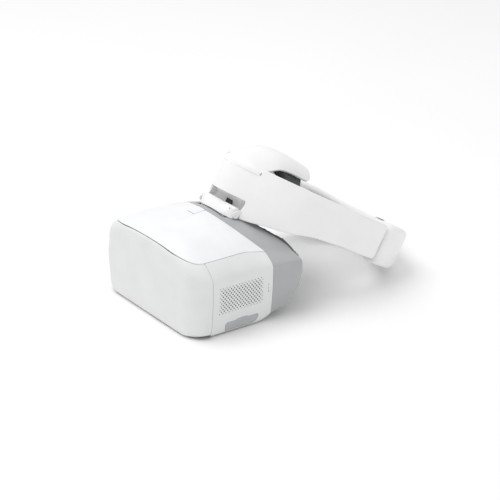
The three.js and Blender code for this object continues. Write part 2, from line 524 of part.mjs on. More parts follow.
// ---- Arms --------------------------------------------------------------------------------------
const GUIDE = { x: [79.5, 82.5], s: [146, 187], h: [38, 52] };
const guideBox = (side, grow) => box(
  side > 0 ? [GUIDE.x[0] - grow, GUIDE.x[1] + grow] : [-GUIDE.x[1] - grow, -GUIDE.x[0] + grow],
  [GUIDE.s[0] - grow, GUIDE.s[1] + grow], [GUIDE.h[0] - grow, GUIDE.h[1] + grow]);
for (const side of [1, -1]) {
  const name = side > 0 ? 'left' : 'right';
  const arc = (from, to, near, far, h0, h1, count) => (side > 0
    ? band(from, to, near, far, h0, h1, count) : band(-to, -from, near, far, h0, h1, count));
  const channel = arc(61.5, 107.5, 2, 8.5, 26.6, 63, 12);
  const boss = arc(97, 108.5, 10, 19.5, 33, 57, 4);
  let liner = arc(60, 109, 2.8, ARM_THICK, -10, 80, 14).intersect(sideView(GAP)).subtract(channel)
    .add(boss).subtract(guideBox(side, GAP));
  if (side < 0) liner = liner.subtract(chargeMouth);
  addPart(`${name}_arm_liner`, liner, 0xe3e4e5, 0.6, ring);
  addPart(`${name}_guide`, guideBox(side, 0), 0x8e9194, 0.4, ring);
  const cells = side > 0 ? [64, 104] : [82, 104];
  addPart(`${name}_battery`, arc(...cells, 3.1, 8.1, 34, 60, 8), 0x2c4f8a, 0.5, ring);
}
addPart('power_board', band(-79, -63, 7, 8.2, 32, 60, 6), 0x1f5a3c, 0.6, ring);
addPart('power_button', armRod(POWER_ANGLE, POWER_H, 6, -0.7, 5), 0xd9dbdc, 0.4, ring);
addPart('status_lights', lightZone(-GAP).intersect(band(-84, -70, -0.15, 2.2, 30, 60, 8)), 0xdfeef0, 0.3, ring);
addPart('charge_port', band(-95.4, -88.6, 2.9, 8.1, 26.9, 33, 2).subtract(
  band(-94, -90, 0, 6.5, 28.2, 30.8, 1)), 0x2b2c2e, 0.6, ring);

// ---- Rear cradle -------------------------------------------------------------------------------
const CRADLE = [111, 249];
const CRADLE_THICK = 18;
const KNOB = { h: 52, r: 15, s: [240.5, 252] };
const knobHole = rod('y', [0, KNOB.h], KNOB.r + 0.8, 238, 260, 24);
const cradleChannel = band(CRADLE[0] - 1, CRADLE[1] + 1, 2.5, CRADLE_THICK - 2.5, 34.5, 63.2, 28);
const cradle = band(...CRADLE, 0, CRADLE_THICK, -10, 80, 32).intersect(sideView(0)).subtract(cradleChannel)
  .subtract(knobHole);
addPart('rear_cradle', cradle, 0xeff0f0, 0.5, ring);
addPart('rear_pad', band(120, 240, CRADLE_THICK + 0.4, CRADLE_THICK + 11, 30, 62, 18), 0x46494a, 0.95, ring);
let knob = rod('y', [0, KNOB.h], KNOB.r, ...KNOB.s, 24).add(rod('y', [0, KNOB.h], 3, 233, 241, 16));
for (const t of range(12).slice(0, -1)) {
  const angle = t * 2 * Math.PI;
  knob = knob.subtract(rod(
    'y', [KNOB.r * Math.cos(angle), KNOB.h + KNOB.r * Math.sin(angle)], 1.2, 243, 260, 6));
}
addPart('adjust_knob', knob, 0x8f9294, 0.5, ring);
const pinion = upright(gearOutline(GEAR_TEETH, GEAR_MODULE * 0.9, 0.1), -2.5, 2.5).rotate([90, 0, 0])
  .translate([0, 236.5, KNOB.h]).subtract(rod('y', [0, KNOB.h], 3 + GAP, 225, 245, 16));
addPart('knob_pinion', pinion, 0xc9ccce, 0.4, ring);

// The origin is at the middle of the object's plan, on the surface that it stands on.
const bounds = new THREE.Box3().setFromObject(group);
group.position.y = -(bounds.min.y + bounds.max.y) / 2;
group.position.z = -FLOOR;

export default group;
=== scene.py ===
"""The fpv goggles' looks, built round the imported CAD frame.

Shapes are worked out in millimetres in the CAD's drawing frame and placed in metres.
"""
import json
import math

import bmesh
import bpy
import numpy as np
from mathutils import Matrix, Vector

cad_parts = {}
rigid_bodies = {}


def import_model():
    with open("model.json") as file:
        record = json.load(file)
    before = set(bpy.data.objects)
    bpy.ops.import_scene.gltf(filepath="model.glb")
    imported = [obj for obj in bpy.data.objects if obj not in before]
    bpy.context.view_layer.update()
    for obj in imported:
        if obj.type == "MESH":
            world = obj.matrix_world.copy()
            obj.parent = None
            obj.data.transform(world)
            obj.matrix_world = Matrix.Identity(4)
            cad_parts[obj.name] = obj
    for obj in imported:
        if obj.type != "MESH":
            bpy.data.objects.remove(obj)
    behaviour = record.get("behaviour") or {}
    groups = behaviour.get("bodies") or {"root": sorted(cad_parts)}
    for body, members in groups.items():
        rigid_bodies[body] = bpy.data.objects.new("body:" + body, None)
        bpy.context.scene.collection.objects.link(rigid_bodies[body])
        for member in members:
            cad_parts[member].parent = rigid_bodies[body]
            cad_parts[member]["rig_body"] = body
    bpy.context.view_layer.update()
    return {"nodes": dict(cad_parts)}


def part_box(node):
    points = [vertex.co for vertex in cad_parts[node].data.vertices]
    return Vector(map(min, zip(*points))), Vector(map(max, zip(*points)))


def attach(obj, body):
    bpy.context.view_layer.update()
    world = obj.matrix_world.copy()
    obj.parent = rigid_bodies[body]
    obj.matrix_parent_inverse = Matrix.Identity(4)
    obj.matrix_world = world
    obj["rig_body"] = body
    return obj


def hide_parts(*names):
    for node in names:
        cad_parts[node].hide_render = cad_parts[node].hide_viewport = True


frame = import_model()
NODES = frame["nodes"]

# ---- The drawing frame: millimetres, placed by one foot of the CAD model --------------------------
FOOT_AT = (20.0, -3.0)  # depth and floor height of foot_1 in the drawing frame
foot_low, foot_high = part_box("foot_1")
SHIFT = np.array([0.0, (foot_low.y + foot_high.y) * 500 - FOOT_AT[0], foot_low.z * 1000 - FOOT_AT[1]])

# Goggles, as in the CAD
GAP = 0.3
HALF_WIDTH = 97.5
BODY_BOTTOM = -1.5
SHOULDER_Z = 62.0
CROWN_TOP = 107.5
CROWN_R = 144.0
COVER_HALF = 81.0
FRONT_EDGE_Z = 92.0
RIDGE_Y = 76.0
REAR_SLOPE = 0.22
CORNER_R = 24.0
SEAM_Y = 24.0
WHITE_END_Y = 104.0
WHITE_ARC_R = 128.0
REAR_Y = 144.0
HEEL_Y = (88.0, 106.0)
FACE_R = 102.7
FACE_CENTRE_Y = 214.7
VENT_Y, VENT_Z = (30.0, 93.0), (21.0, 59.0)
PORT_Y, PORT_Z = (42.0, 86.0), (1.6, 11.6)
LENS_X, LENS_Z = 32.0, 52.0
MIC_Y, MIC_Z, MIC_R = 98.0, (36.0, 40.0, 44.0), 0.7
BUTTON_Y, BUTTON_Z, BUTTON_R = (50.0, 66.0), 14.0, 4.0
NOSE_HALF = 23.0
FRONT_LIP = 5.6
HOUSING_LIP = 96.8
FRONT_MIDDLE = np.array([0.0, 0.0, 46.0])
SKIN_THICK, COVER_THICK, HOUSING_THICK, BAND_THICK = 2.2, 1.8, 3.2, 2.5

# Headband, as in the CAD: X, rearward S and height H in a ring frame that is pitched down to the rear
PITCH = math.radians(31)
RING_ORIGIN = np.array([0.0, 92.0, 100.0])
RING_HALF = 99.0
RING_LENGTH = 120.0
RING_CENTRE = 128.0
NOSE_OUT = 15.0
NOSE_WIDTH = 36.0
ARM_TOP = 66.0
ARM_END = 110.0
TONGUE_HALF = 35.0
TONGUE_START = 58.0
WINDOW_HALF = 34.0
RECESS_TOP = 26.0
KNOB_H = 52.0
CRADLE_THICK = 18.0


def to_metres(points):
    return (np.asarray(points, float) + SHIFT) / 1000


def from_ring(points):
    p = np.asarray(points, float)
    turned = np.empty_like(p)
    turned[..., 0] = p[..., 0]
    turned[..., 1] = p[..., 1] * math.cos(PITCH) + p[..., 2] * math.sin(PITCH)
    turned[..., 2] = -p[..., 1] * math.sin(PITCH) + p[..., 2] * math.cos(PITCH)
    return turned + RING_ORIGIN


# ---- Materials ------------------------------------------------------------------------------------
def node_material(name):
    material = bpy.data.materials.new(name)
    material.use_nodes = True
    tree = material.node_tree
    return material, tree, tree.nodes["Principled BSDF"]


def noise_of(tree, scale, detail=2.0):
    coords = tree.nodes.new("ShaderNodeTexCoord")
    noise = tree.nodes.new("ShaderNodeTexNoise")
    noise.inputs["Scale"].default_value = scale
    noise.inputs["Detail"].default_value = detail
    tree.links.new(coords.outputs["Object"], noise.inputs["Vector"])
    return noise


def ramp_between(tree, source, low, high, start=0.35, end=0.65):
    ramp = tree.nodes.new("ShaderNodeValToRGB")
    ramp.color_ramp.elements[0].position = start
    ramp.color_ramp.elements[1].position = end
    ramp.color_ramp.elements[0].color = (*low, 1)
    ramp.color_ramp.elements[1].color = (*high, 1)
    tree.links.new(source, ramp.inputs["Fac"])
    return ramp


def add_bump(tree, shader, height, strength, distance):
    bump = tree.nodes.new("ShaderNodeBump")
    bump.inputs["Strength"].default_value = strength
    bump.inputs["Distance"].default_value = distance
    tree.links.new(height, bump.inputs["Height"])
    tree.links.new(bump.outputs["Normal"], shader.inputs["Normal"])


def moulded(name, colour, rough=0.45, grain=0.12, spread=0.015, metallic=0.0, specular=0.5):
    """Moulded plastic or metal: a fine texture, faint cloudiness in the colour and in the gloss."""
    material, tree, shader = node_material(name)
    shader.inputs["Metallic"].default_value = metallic
    shader.inputs["Specular IOR Level"].default_value = specular
    cloud = noise_of(tree, 38, 3)
    low = tuple(max(c - spread, 0) for c in colour)
    high = tuple(min(c + spread, 1) for c in colour)
    tree.links.new(ramp_between(tree, cloud.outputs["Fac"], low, high).outputs["Color"], shader.inputs["Base Color"])
    gloss = ramp_between(tree, cloud.outputs["Fac"], (rough - 0.04,) * 3, (rough + 0.05,) * 3)
    tree.links.new(gloss.outputs["Color"], shader.inputs["Roughness"])
    add_bump(tree, shader, noise_of(tree, 2600, 2).outputs["Fac"], grain, 0.00012)
    return material


def cloth_material(name, colour, weave=2600.0):
    """Knitted cover over foam: two crossed waves for the weave, with a soft sheen."""
    material, tree, shader = node_material(name)
    shader.inputs["Roughness"].default_value = 0.92
    shader.inputs["Specular IOR Level"].default_value = 0.2
    shader.inputs["Sheen Weight"].default_value = 0.35
    shader.inputs["Sheen Roughness"].default_value = 0.5
    coords = tree.nodes.new("ShaderNodeTexCoord")
    waves = []
    for direction in ("X", "Z"):
        wave = tree.nodes.new("ShaderNodeTexWave")
        wave.bands_direction = direction
        wave.inputs["Scale"].default_value = weave / 10
        wave.inputs["Distortion"].default_value = 0.6
        tree.links.new(coords.outputs["Object"], wave.inputs["Vector"])
        waves.append(wave.outputs["Fac"])
    product = tree.nodes.new("ShaderNodeMath")
    product.operation = "MULTIPLY"
    tree.links.new(waves[0], product.inputs[0])
    tree.links.new(waves[1], product.inputs[1])
    dark = tuple(c * 0.72 for c in colour)
    tree.links.new(ramp_between(tree, product.outputs[0], dark, colour, 0.0, 0.8).outputs["Color"],
                   shader.inputs["Base Color"])
    add_bump(tree, shader, product.outputs[0], 0.5, 0.0004)
    return material


def clear_material(name, tint, alpha=0.35):
    material, tree, shader = node_material(name)
    shader.inputs["Roughness"].default_value = 0.04
    shader.inputs["Coat Weight"].default_value = 0.6
    shader.inputs["Alpha"].default_value = alpha
    cloud = noise_of(tree, 12, 1)
    tree.links.new(ramp_between(tree, cloud.outputs["Fac"], tuple(c * 0.96 for c in tint), tint).outputs["Color"],
                   shader.inputs["Base Color"])
    return material


def board_material(name):
    """Circuit board: green lacquer with brighter traces under it."""
    material, tree, shader = node_material(name)
    shader.inputs["Roughness"].default_value = 0.35
    coords = tree.nodes.new("ShaderNodeTexCoord")
    traces = tree.nodes.new("ShaderNodeTexBrick")
    traces.inputs["Color1"].default_value = (0.01, 0.13, 0.05, 1)
    traces.inputs["Color2"].default_value = (0.015, 0.17, 0.07, 1)
    traces.inputs["Mortar"].default_value = (0.10, 0.34, 0.15, 1)
    traces.inputs["Scale"].default_value = 160
    traces.inputs["Mortar Size"].default_value = 0.02
    turn = tree.nodes.new("ShaderNodeMapping")
    turn.inputs["Rotation"].default_value = (math.pi / 2, 0, 0)
    tree.links.new(coords.outputs["Object"], turn.inputs["Vector"])
    tree.links.new(turn.outputs["Vector"], traces.inputs["Vector"])
    tree.links.new(traces.outputs["Color"], shader.inputs["Base Color"])
    add_bump(tree, shader, traces.outputs["Fac"], 0.2, 0.0001)
    return material


WHITE = moulded("white_plastic", (0.765, 0.77, 0.775), 0.46)
COVER = moulded("cover_plastic", (0.86, 0.87, 0.89), 0.42)
BAND = moulded("headband_plastic", (0.90, 0.90, 0.905), 0.42)
LINER = moulded("liner_plastic", (0.66, 0.67, 0.68), 0.55, 0.2)
HOUSING = moulded("housing_plastic", (0.42, 0.43, 0.44), 0.42, 0.15)
PORT = moulded("port_rubber", (0.46, 0.47, 0.48), 0.6, 0.25)
DARK = moulded("dark_plastic", (0.02, 0.02, 0.022), 0.5, 0.25, 0.006)
MID = moulded("grey_plastic", (0.11, 0.112, 0.118), 0.55, 0.25)
BUTTON = moulded("button_plastic", (0.55, 0.56, 0.57), 0.4)
TOUCH = moulded("touch_plastic", (0.77, 0.775, 0.78), 0.42, 0.08)
RUBBER = moulded("black_rubber", (0.022, 0.022, 0.023), 0.8, 0.4, 0.005)
GRIP = moulded("grip_rubber", (0.24, 0.245, 0.25), 0.7, 0.35)
STEEL = moulded("pin_steel", (0.55, 0.56, 0.58), 0.28, 0.1, 0.02, 1.0)
METAL = moulded("heat_sink_metal", (0.65, 0.66, 0.68), 0.33, 0.1, 0.02, 1.0)
SCREEN = moulded("screen_glass", (0.008, 0.008, 0.011), 0.12, 0.01, 0.002)
CELL = moulded("cell_film", (0.03, 0.09, 0.28), 0.3, 0.05)
PIPE = moulded("light_pipe", (0.78, 0.86, 0.87), 0.25, 0.05)
MIRROR = moulded("mirror_coat", (0.85, 0.86, 0.88), 0.05, 0.0, 0.005, 1.0)
FOAM = cloth_material("foam_cover", (0.075, 0.08, 0.083))
LENS = clear_material("lens_glass", (0.75, 0.83, 0.88))
BEAM = clear_material("beam_glass", (0.62, 0.76, 0.79), 0.45)
BOARD = board_material("circuit_board")


# ---- Making pieces --------------------------------------------------------------------------------
def piece(name, points, faces, material, body, replaces=(), slot=None, smooth=True):
    mesh = bpy.data.meshes.new(name)
    mesh.from_pydata([tuple(p) for p in to_metres(points)], [], [tuple(int(i) for i in f) for f in faces])
    mesh.validate()
    obj = bpy.data.objects.new(name, mesh)
    bpy.context.scene.collection.objects.link(obj)
    return dress(obj, material, body, replaces, smooth)


def dress(obj, material, body, replaces=(), smooth=True):
    obj.data.materials.clear()
    obj.data.materials.append(material)
    for polygon in obj.data.polygons:
        polygon.use_smooth = smooth
    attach(obj, body)
    if replaces:
        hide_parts(*replaces)
    return obj


def outward(obj):
    work = bmesh.new()
    work.from_mesh(obj.data)
    bmesh.ops.recalc_face_normals(work, faces=work.faces)
    work.to_mesh(obj.data)
    work.free()


def facing(obj, angle=35):
    """Shades smooth except across edges sharper than the angle."""
    limit = math.radians(angle)
    work = bmesh.new()
    work.from_mesh(obj.data)
    for edge in work.edges:
        edge.smooth = len(edge.link_faces) == 2 and edge.calc_face_angle(0) < limit
    work.to_mesh(obj.data)
    work.free()
    return obj


def apply_modifiers(obj):
    bpy.context.view_layer.update()
    shaped = bpy.data.meshes.new_from_object(obj.evaluated_get(bpy.context.evaluated_depsgraph_get()))
    obj.modifiers.clear()
    obj.data = shaped
    return obj


def grid_faces(columns, rows, closed=False, skip=None):
    faces = []
    for i in range(columns if closed else columns - 1):
        for j in range(rows - 1):
            if skip and skip(i, j):
                continue
            a, b = i * rows + j, ((i + 1) % columns) * rows + j
            faces.append((a, b, b + 1, a + 1))
    return faces


def thicken(points, normals, faces, depth, roll=0.5, steps=3):
    """Turns an open skin into a closed moulding: rolled edges, side walls and an inner skin."""
    points, normals = np.asarray(points, float), np.asarray(normals, float)
    count = len(points)
    used = {}
    for face in faces:
        for a, b in zip(face, face[1:] + face[:1]):
            used[(a, b)] = True
    following = {a: b for (a, b) in used if (b, a) not in used}
    leading = {b: a for a, b in following.items()}
    verts = [points]
    out_faces = [tuple(f) for f in faces]
    inner = points - normals * depth
    rim = sorted(following)
    place = {v: k for k, v in enumerate(rim)}
    base = points[rim]
    run = points[[following[v] for v in rim]] - points[[leading[v] for v in rim]]
    run /= np.maximum(np.linalg.norm(run, axis=1, keepdims=True), 1e-9)
    aside = np.cross(run, normals[rim])
    aside /= np.maximum(np.linalg.norm(aside, axis=1, keepdims=True), 1e-9)
    rings = []
    for k in range(1, steps + 1):
        turn = math.pi / 2 * k / steps
        rings.append(base + aside * roll * math.sin(turn) - normals[rim] * roll * (1 - math.cos(turn)))
    rings.append(base + aside * roll - normals[rim] * depth)
    start = count
    previous = {v: v for v in rim}
    for ring in rings:
        verts.append(ring)
        current = {v: start + place[v] for v in rim}
        for a in rim:
            b = following[a]
            out_faces.append((previous[b], previous[a], current[a], current[b]))
        previous = current
        start += len(rim)
    verts.append(inner)
    for a in rim:
        b = following[a]
        out_faces.append((previous[b], previous[a], start + a, start + b))
    out_faces += [tuple(start + v for v in reversed(f)) for f in faces]
    return np.vstack(verts), out_faces


def surface_normals(surface, us, vs, outward, step=1e-2):
    """Unit normals of a surface function at paired parameters, on the side of `outward`."""
    du = surface(us + step, vs) - surface(us - step, vs)
    dv = surface(us, vs + step) - surface(us, vs - step)
    normal = np.cross(du, dv)
    normal /= np.maximum(np.linalg.norm(normal, axis=1, keepdims=True), 1e-12)
    flip = np.sign(np.sum(normal * outward, axis=1, keepdims=True))
    return normal * np.where(flip == 0, 1, flip)


def oriented(points, normals, faces):
    """Turns the faces the way of the normals."""
    a, b, c = (np.asarray([points[f[k]] for f in faces]) for k in range(3))
    across_ = np.cross(b - a, c - a)
    side = np.sum(across_ * np.asarray([normals[f[0]] for f in faces]))
    return faces if side > 0 else [tuple(reversed(f)) for f in faces]


def shell(name, points, normals, faces, depth, material, body, roll=0.5, **extra):
    faces = [tuple(f) for f in oriented(points, normals, faces)]
    verts, out = thicken(points, normals, faces, depth, roll)
    return facing(piece(name, verts, out, material, body, **extra))


def refined(node, material, bevel):
    """A CAD solid with its edges rounded."""
    source = NODES[node]
    obj = bpy.data.objects.new(node + "_finish", source.data.copy())
    bpy.context.scene.collection.objects.link(obj)
    work = bmesh.new()
    work.from_mesh(obj.data)
    bmesh.ops.remove_doubles(work, verts=work.verts, dist=2e-6)
    bmesh.ops.dissolve_limit(work, angle_limit=math.radians(1.5), verts=work.verts, edges=work.edges)
    work.to_mesh(obj.data)
    work.free()
    rounding = obj.modifiers.new("rounding", "BEVEL")
    rounding.width = bevel / 1000
    rounding.segments = 2
    rounding.limit_method = "ANGLE"
    rounding.angle_limit = math.radians(30)
    apply_modifiers(obj)
    dress(obj, material, source["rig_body"], (node,))
    return facing(obj)


def cut(obj, *cutters):
    for cutter in cutters:
        boolean = obj.modifiers.new("cut", "BOOLEAN")
        boolean.operation = "DIFFERENCE"
        boolean.solver = "EXACT"
        boolean.object = cutter
        apply_modifiers(obj)
        mesh = cutter.data
        bpy.data.objects.remove(cutter)
        bpy.data.meshes.remove(mesh)
    return facing(obj)


def loose_solid(points, faces):
    mesh = bpy.data.meshes.new("cutter")
    mesh.from_pydata([tuple(p) for p in to_metres(points)], [], faces)
    obj = bpy.data.objects.new("cutter", mesh)
    bpy.context.scene.collection.objects.link(obj)
    work = bmesh.new()
    work.from_mesh(mesh)
    bmesh.ops.recalc_face_normals(work, faces=work.faces)
    work.to_mesh(mesh)
    work.free()
    return obj


def prism(outline, low, high, axis):
    """A solid with a flat outline, run along an axis. The outline's coordinates are the other two axes, in order."""
    rest = [k for k in range(3) if k != axis]
    points = []
    for level in (low, high):
        for p in outline:
            point = [0.0, 0.0, 0.0]
            point[rest[0]], point[rest[1]], point[axis] = p[0], p[1], level
            points.append(point)
    n = len(outline)
    sides = [(i, (i + 1) % n, n + (i + 1) % n, n + i) for i in range(n)]
    return points, [tuple(range(n)), tuple(range(2 * n - 1, n - 1, -1))] + sides


def rounded_rect(x0, y0, x1, y1, r, count=8):
    corners = [(x1 - r, y1 - r, 0), (x0 + r, y1 - r, 90), (x0 + r, y0 + r, 180), (x1 - r, y0 + r, 270)]
    turns = [(cx, cy, math.radians(start + 90 * k / count)) for cx, cy, start in corners for k in range(count + 1)]
    return [(cx + r * math.cos(turn), cy + r * math.sin(turn)) for cx, cy, turn in turns]


def circle(a, b, radius, count):
    turns = np.linspace(0, 2 * math.pi, count + 1)[:-1]
    return [(a + radius * math.cos(turn), b + radius * math.sin(turn)) for turn in turns]


# ---- The goggles' outer surface -------------------------------------------------------------------
FRONT_FILLET = 4.0
BOTTOM_FILLET = 4.5


def crown(x):
    return CROWN_TOP - CROWN_R + np.sqrt(CROWN_R ** 2 - x ** 2)


def side_at(z):
    return HALF_WIDTH - 5.5 * (np.maximum(SHOULDER_Z - z, 0) / (SHOULDER_Z - BODY_BOTTOM)) ** 2


def top_at(x, y):
    ramp = FRONT_EDGE_Z + (CROWN_TOP - FRONT_EDGE_Z) * np.sin(np.clip(y / RIDGE_Y, 0, 1) * math.pi / 2)
    rear = crown(x) - REAR_SLOPE * np.maximum(y - RIDGE_Y, 0)
    low, soft = np.minimum(crown(x), ramp), 3.0 * (1 - np.clip(y / RIDGE_Y, 0, 1) ** 2) + 0.02
    blended = low - soft * np.log1p(np.exp(-np.abs(crown(x) - ramp) / soft))
    return np.where(y > RIDGE_Y, rear, blended)


def rear_at(z):
    return REAR_Y - np.where(z < 51, 13 * ((z - 51) / 42) ** 2, 4 * ((z - 51) / 23) ** 2)


def heel_at(y):
    turn = np.clip((y - HEEL_Y[0]) / (HEEL_Y[1] - HEEL_Y[0]), 0, 1)
    return 6.5 * turn ** 1.6 + 0.13 * np.maximum(y - HEEL_Y[1], 0)


def half_section(fillet):
    """The right half of the front view, bottom centre to crown centre, as dense points."""
    wall = side_at(BODY_BOTTOM + fillet)
    points = [(x, BODY_BOTTOM) for x in np.linspace(0, wall - fillet, 60)]
    for turn in np.linspace(-90, 0, 24)[1:]:
        points.append((wall - fillet + fillet * math.cos(math.radians(turn)),
                       BODY_BOTTOM + fillet + fillet * math.sin(math.radians(turn))))
    points += [(float(side_at(z)), z) for z in np.linspace(BODY_BOTTOM + fillet, SHOULDER_Z, 60)[1:]]
    ends = np.array([(HALF_WIDTH, SHOULDER_Z), (HALF_WIDTH, 70), (89, 77.2), (COVER_HALF, float(crown(COVER_HALF)))])
    for t in np.linspace(0, 1, 40)[1:]:
        weights = np.array([(1 - t) ** 3, 3 * t * (1 - t) ** 2, 3 * t * t * (1 - t), t ** 3])
        points.append(tuple(weights @ ends))
    points += [(x, float(crown(x))) for x in np.linspace(COVER_HALF, 0, 70)[1:]]
    return np.array(points)


SECTION = half_section(BOTTOM_FILLET)
ROUND_SECTION = half_section(15.0)
ROUND_SECTION[:, 0] -= 4.2 * np.sin(math.pi * np.clip((ROUND_SECTION[:, 1] - 42) / 40, 0, 1)) ** 2
SECTION_RUN = np.concatenate([[0], np.cumsum(np.linalg.norm(np.diff(SECTION, axis=0), axis=1))])
UPPER = SECTION[SECTION[:, 1] >= SHOULDER_Z - 0.01]
T_SIDE = float(np.interp(BODY_BOTTOM + BOTTOM_FILLET, SECTION[82:142, 1], SECTION_RUN[82:142]))
T_COVER = float(SECTION_RUN[-70])  # where the crown arc starts, at the side edge of the top cover
T_END = float(SECTION_RUN[-1])


def section_at(t):
    """Signed run along the section: negative is the other side."""
    run = np.abs(t)
    return np.sign(t) * np.interp(run, SECTION_RUN, SECTION[:, 0]), np.interp(run, SECTION_RUN, SECTION[:, 1])


def body_point(x, z, y):
    turn = np.clip(CORNER_R - y, 0, CORNER_R)
    narrow = 1 - (CORNER_R - np.sqrt(CORNER_R ** 2 - turn ** 2)) / HALF_WIDTH
    nx = x * narrow
    inward = np.minimum(np.abs(nx), COVER_HALF)
    rise = (top_at(inward, y) - SHOULDER_Z) / (crown(inward) - SHOULDER_Z)
    nz = np.where(z > SHOULDER_Z, SHOULDER_Z + (z - SHOULDER_Z) * rise, z)
    stretch = (rear_at(nz) - WHITE_END_Y) / (REAR_Y - WHITE_END_Y)
    ny = np.where(y > WHITE_END_Y, WHITE_END_Y + (y - WHITE_END_Y) * stretch, y)
    nz = nz + heel_at(ny) * np.maximum(SHOULDER_Z - nz, 0) / (SHOULDER_Z - BODY_BOTTOM)
    near = np.clip(FRONT_FILLET - y, 0, FRONT_FILLET)
    shrink = FRONT_FILLET - np.sqrt(FRONT_FILLET ** 2 - near ** 2)
    middle, reach = 45.0, 46.5
    nz = middle + (nz - middle) * (1 - shrink / reach)
    return np.stack([nx, ny, nz], -1)


def skin(t, y):
    """The body's surface; towards the front the section turns into one with rounder corners."""
    near = np.clip(1 - np.asarray(y, float) / SEAM_Y, 0, 1)
    near = near * near * (3 - 2 * near)
    x, z = section_at(t)
    run = np.abs(t)
    round_x = np.sign(t) * np.interp(run, SECTION_RUN, ROUND_SECTION[:, 0])
    round_z = np.interp(run, SECTION_RUN, ROUND_SECTION[:, 1])
    return body_point(x + (round_x - x) * near, z + (round_z - z) * near, y)


def top_skin(x, y):
    """The top as a height over the plan."""
    turn = np.clip(CORNER_R - y, 0, CORNER_R)
    narrow = 1 - (CORNER_R - np.sqrt(CORNER_R ** 2 - turn ** 2)) / HALF_WIDTH
    wide = np.abs(x) / narrow
    height = np.interp(wide, UPPER[::-1, 0], UPPER[::-1, 1])
    made = body_point(wide * np.sign(x), height, y)
    return np.stack([x, made[..., 1], made[..., 2]], -1)


def cover_front(x, grow=0.0):
    """Depth of the top cover's front edge at a width: straight in the middle, sweeping back in a wide corner."""
    q = np.clip((np.abs(x) - 40) / (COVER_HALF + grow - 40), 0, 1)
    return 2.2 - grow + 23 * (1 - (1 - q ** 2.4) ** (1 / 2.4))


def white_arc(x):
    return RIDGE_Y + WHITE_ARC_R - np.sqrt(WHITE_ARC_R ** 2 - np.clip(x, -100, 100) ** 2)


def spread(stops, counts):
    """Numbers running through the stops, with a count of steps in each stretch."""
    values = [np.linspace(a, b, n, endpoint=False) for a, b, n in zip(stops, stops[1:], counts)]
    return np.concatenate(values + [[stops[-1]]])


ROLL = 0.55


def make_front_shell():
    """The front face with its rounded corners, back to the seam at the sides and to the cover on top."""
    around = spread([0, T_SIDE - 9, T_SIDE, T_COVER - 6, T_COVER - 0.2, T_COVER + 2.5, T_END], [14, 12, 26, 12, 16, 26])
    loop = np.concatenate([around, -around[1:-1][::-1]])
    x_section, z_section = section_at(loop)
    limit = np.full(len(loop), SEAM_Y - ROLL)
    for k, x in enumerate(x_section):
        if z_section[k] > SHOULDER_Z + 8:
            ys = np.linspace(0.5, SEAM_Y, 400)
            turn = CORNER_R - ys
            actual = abs(x) * (1 - (CORNER_R - np.sqrt(CORNER_R ** 2 - turn ** 2)) / HALF_WIDTH)
            edge = np.where(actual < COVER_HALF + GAP, cover_front(actual, GAP), 1e9)
            inside = ys > edge
            if inside.any():
                limit[k] = min(limit[k], ys[np.argmax(inside)] - ROLL)
    fade = np.clip((T_SIDE - np.abs(loop)) / 6, 0, 1)  # underneath, the shell ends in front of the base plate
    limit = limit * (1 - fade) + FRONT_LIP * fade
    rows = 1 - np.cos(np.linspace(0, 1, 15) * math.pi / 2)
    face_rows = [0.04, 0.35, 0.65, 0.85, 0.95]
    outline = skin(loop, np.zeros(len(loop)))
    points, normals = [], []
    for k in range(len(loop)):
        for s in face_rows:
            points.append(FRONT_MIDDLE + (outline[k] - FRONT_MIDDLE) * s)
            normals.append((0, -1, 0))
        ys = rows * limit[k]
        column = skin(np.full(len(rows), loop[k]), ys)
        hint = column - FRONT_MIDDLE - np.array([0, 60, 0])
        made = surface_normals(skin, np.full(len(rows), loop[k]), np.maximum(ys, 0.02), hint)
        made[0] = (0, -1, 0)
        points += list(column)
        normals += list(made)
    count = len(face_rows) + len(rows)
    faces = grid_faces(len(loop), count, closed=True)
    points.append(FRONT_MIDDLE)
    normals.append((0, -1, 0))
    last = len(points) - 1
    faces += [(last, ((k + 1) % len(loop)) * count, k * count) for k in range(len(loop))]
    points, normals = np.array(points), np.array(normals)
    faces = [tuple(f) for f in oriented(points, normals, faces)]
    verts, out = thicken(points, normals, faces, SKIN_THICK, ROLL)
    return facing(piece("front_shell_skin", verts, out, WHITE, "goggles", ("front_shell",), "white_shell"), 50)


def make_top_cover():
    """The cool white cover, open at the back for the release key."""
    tab, back = 7.2, 60.6  # half-width and front end of the key's notch
    edge = COVER_HALF - GAP / 2 - ROLL
    side = spread([tab, tab + 0.15, 20, 60, edge - 9, edge - 0.6, edge], [1, 5, 12, 5, 14, 4])
    xs = np.concatenate([-side[::-1], [-tab + 0.1, -tab / 2, 0, tab / 2, tab - 0.1], side])
    lows = cover_front(xs, -GAP / 2 - ROLL)
    highs = white_arc(xs) - GAP / 2 - ROLL
    highs[np.abs(xs) < tab] = back - ROLL
    rows = spread([0, 0.06, 0.3, 1], [5, 10, 20])
    grid_x = np.repeat(xs, len(rows))
    grid_y = (lows[:, None] + (highs - lows)[:, None] * rows[None]).ravel()
    points = top_skin(grid_x, grid_y)
    normals = surface_normals(top_skin, grid_x, grid_y, np.tile([0, 0, 1.0], (len(points), 1)))
    faces = grid_faces(len(xs), len(rows))
    return shell("top_cover_skin", points, normals, faces, COVER_THICK, COVER, "goggles", ROLL,
                 replaces=("top_cover",), slot="cover_white")


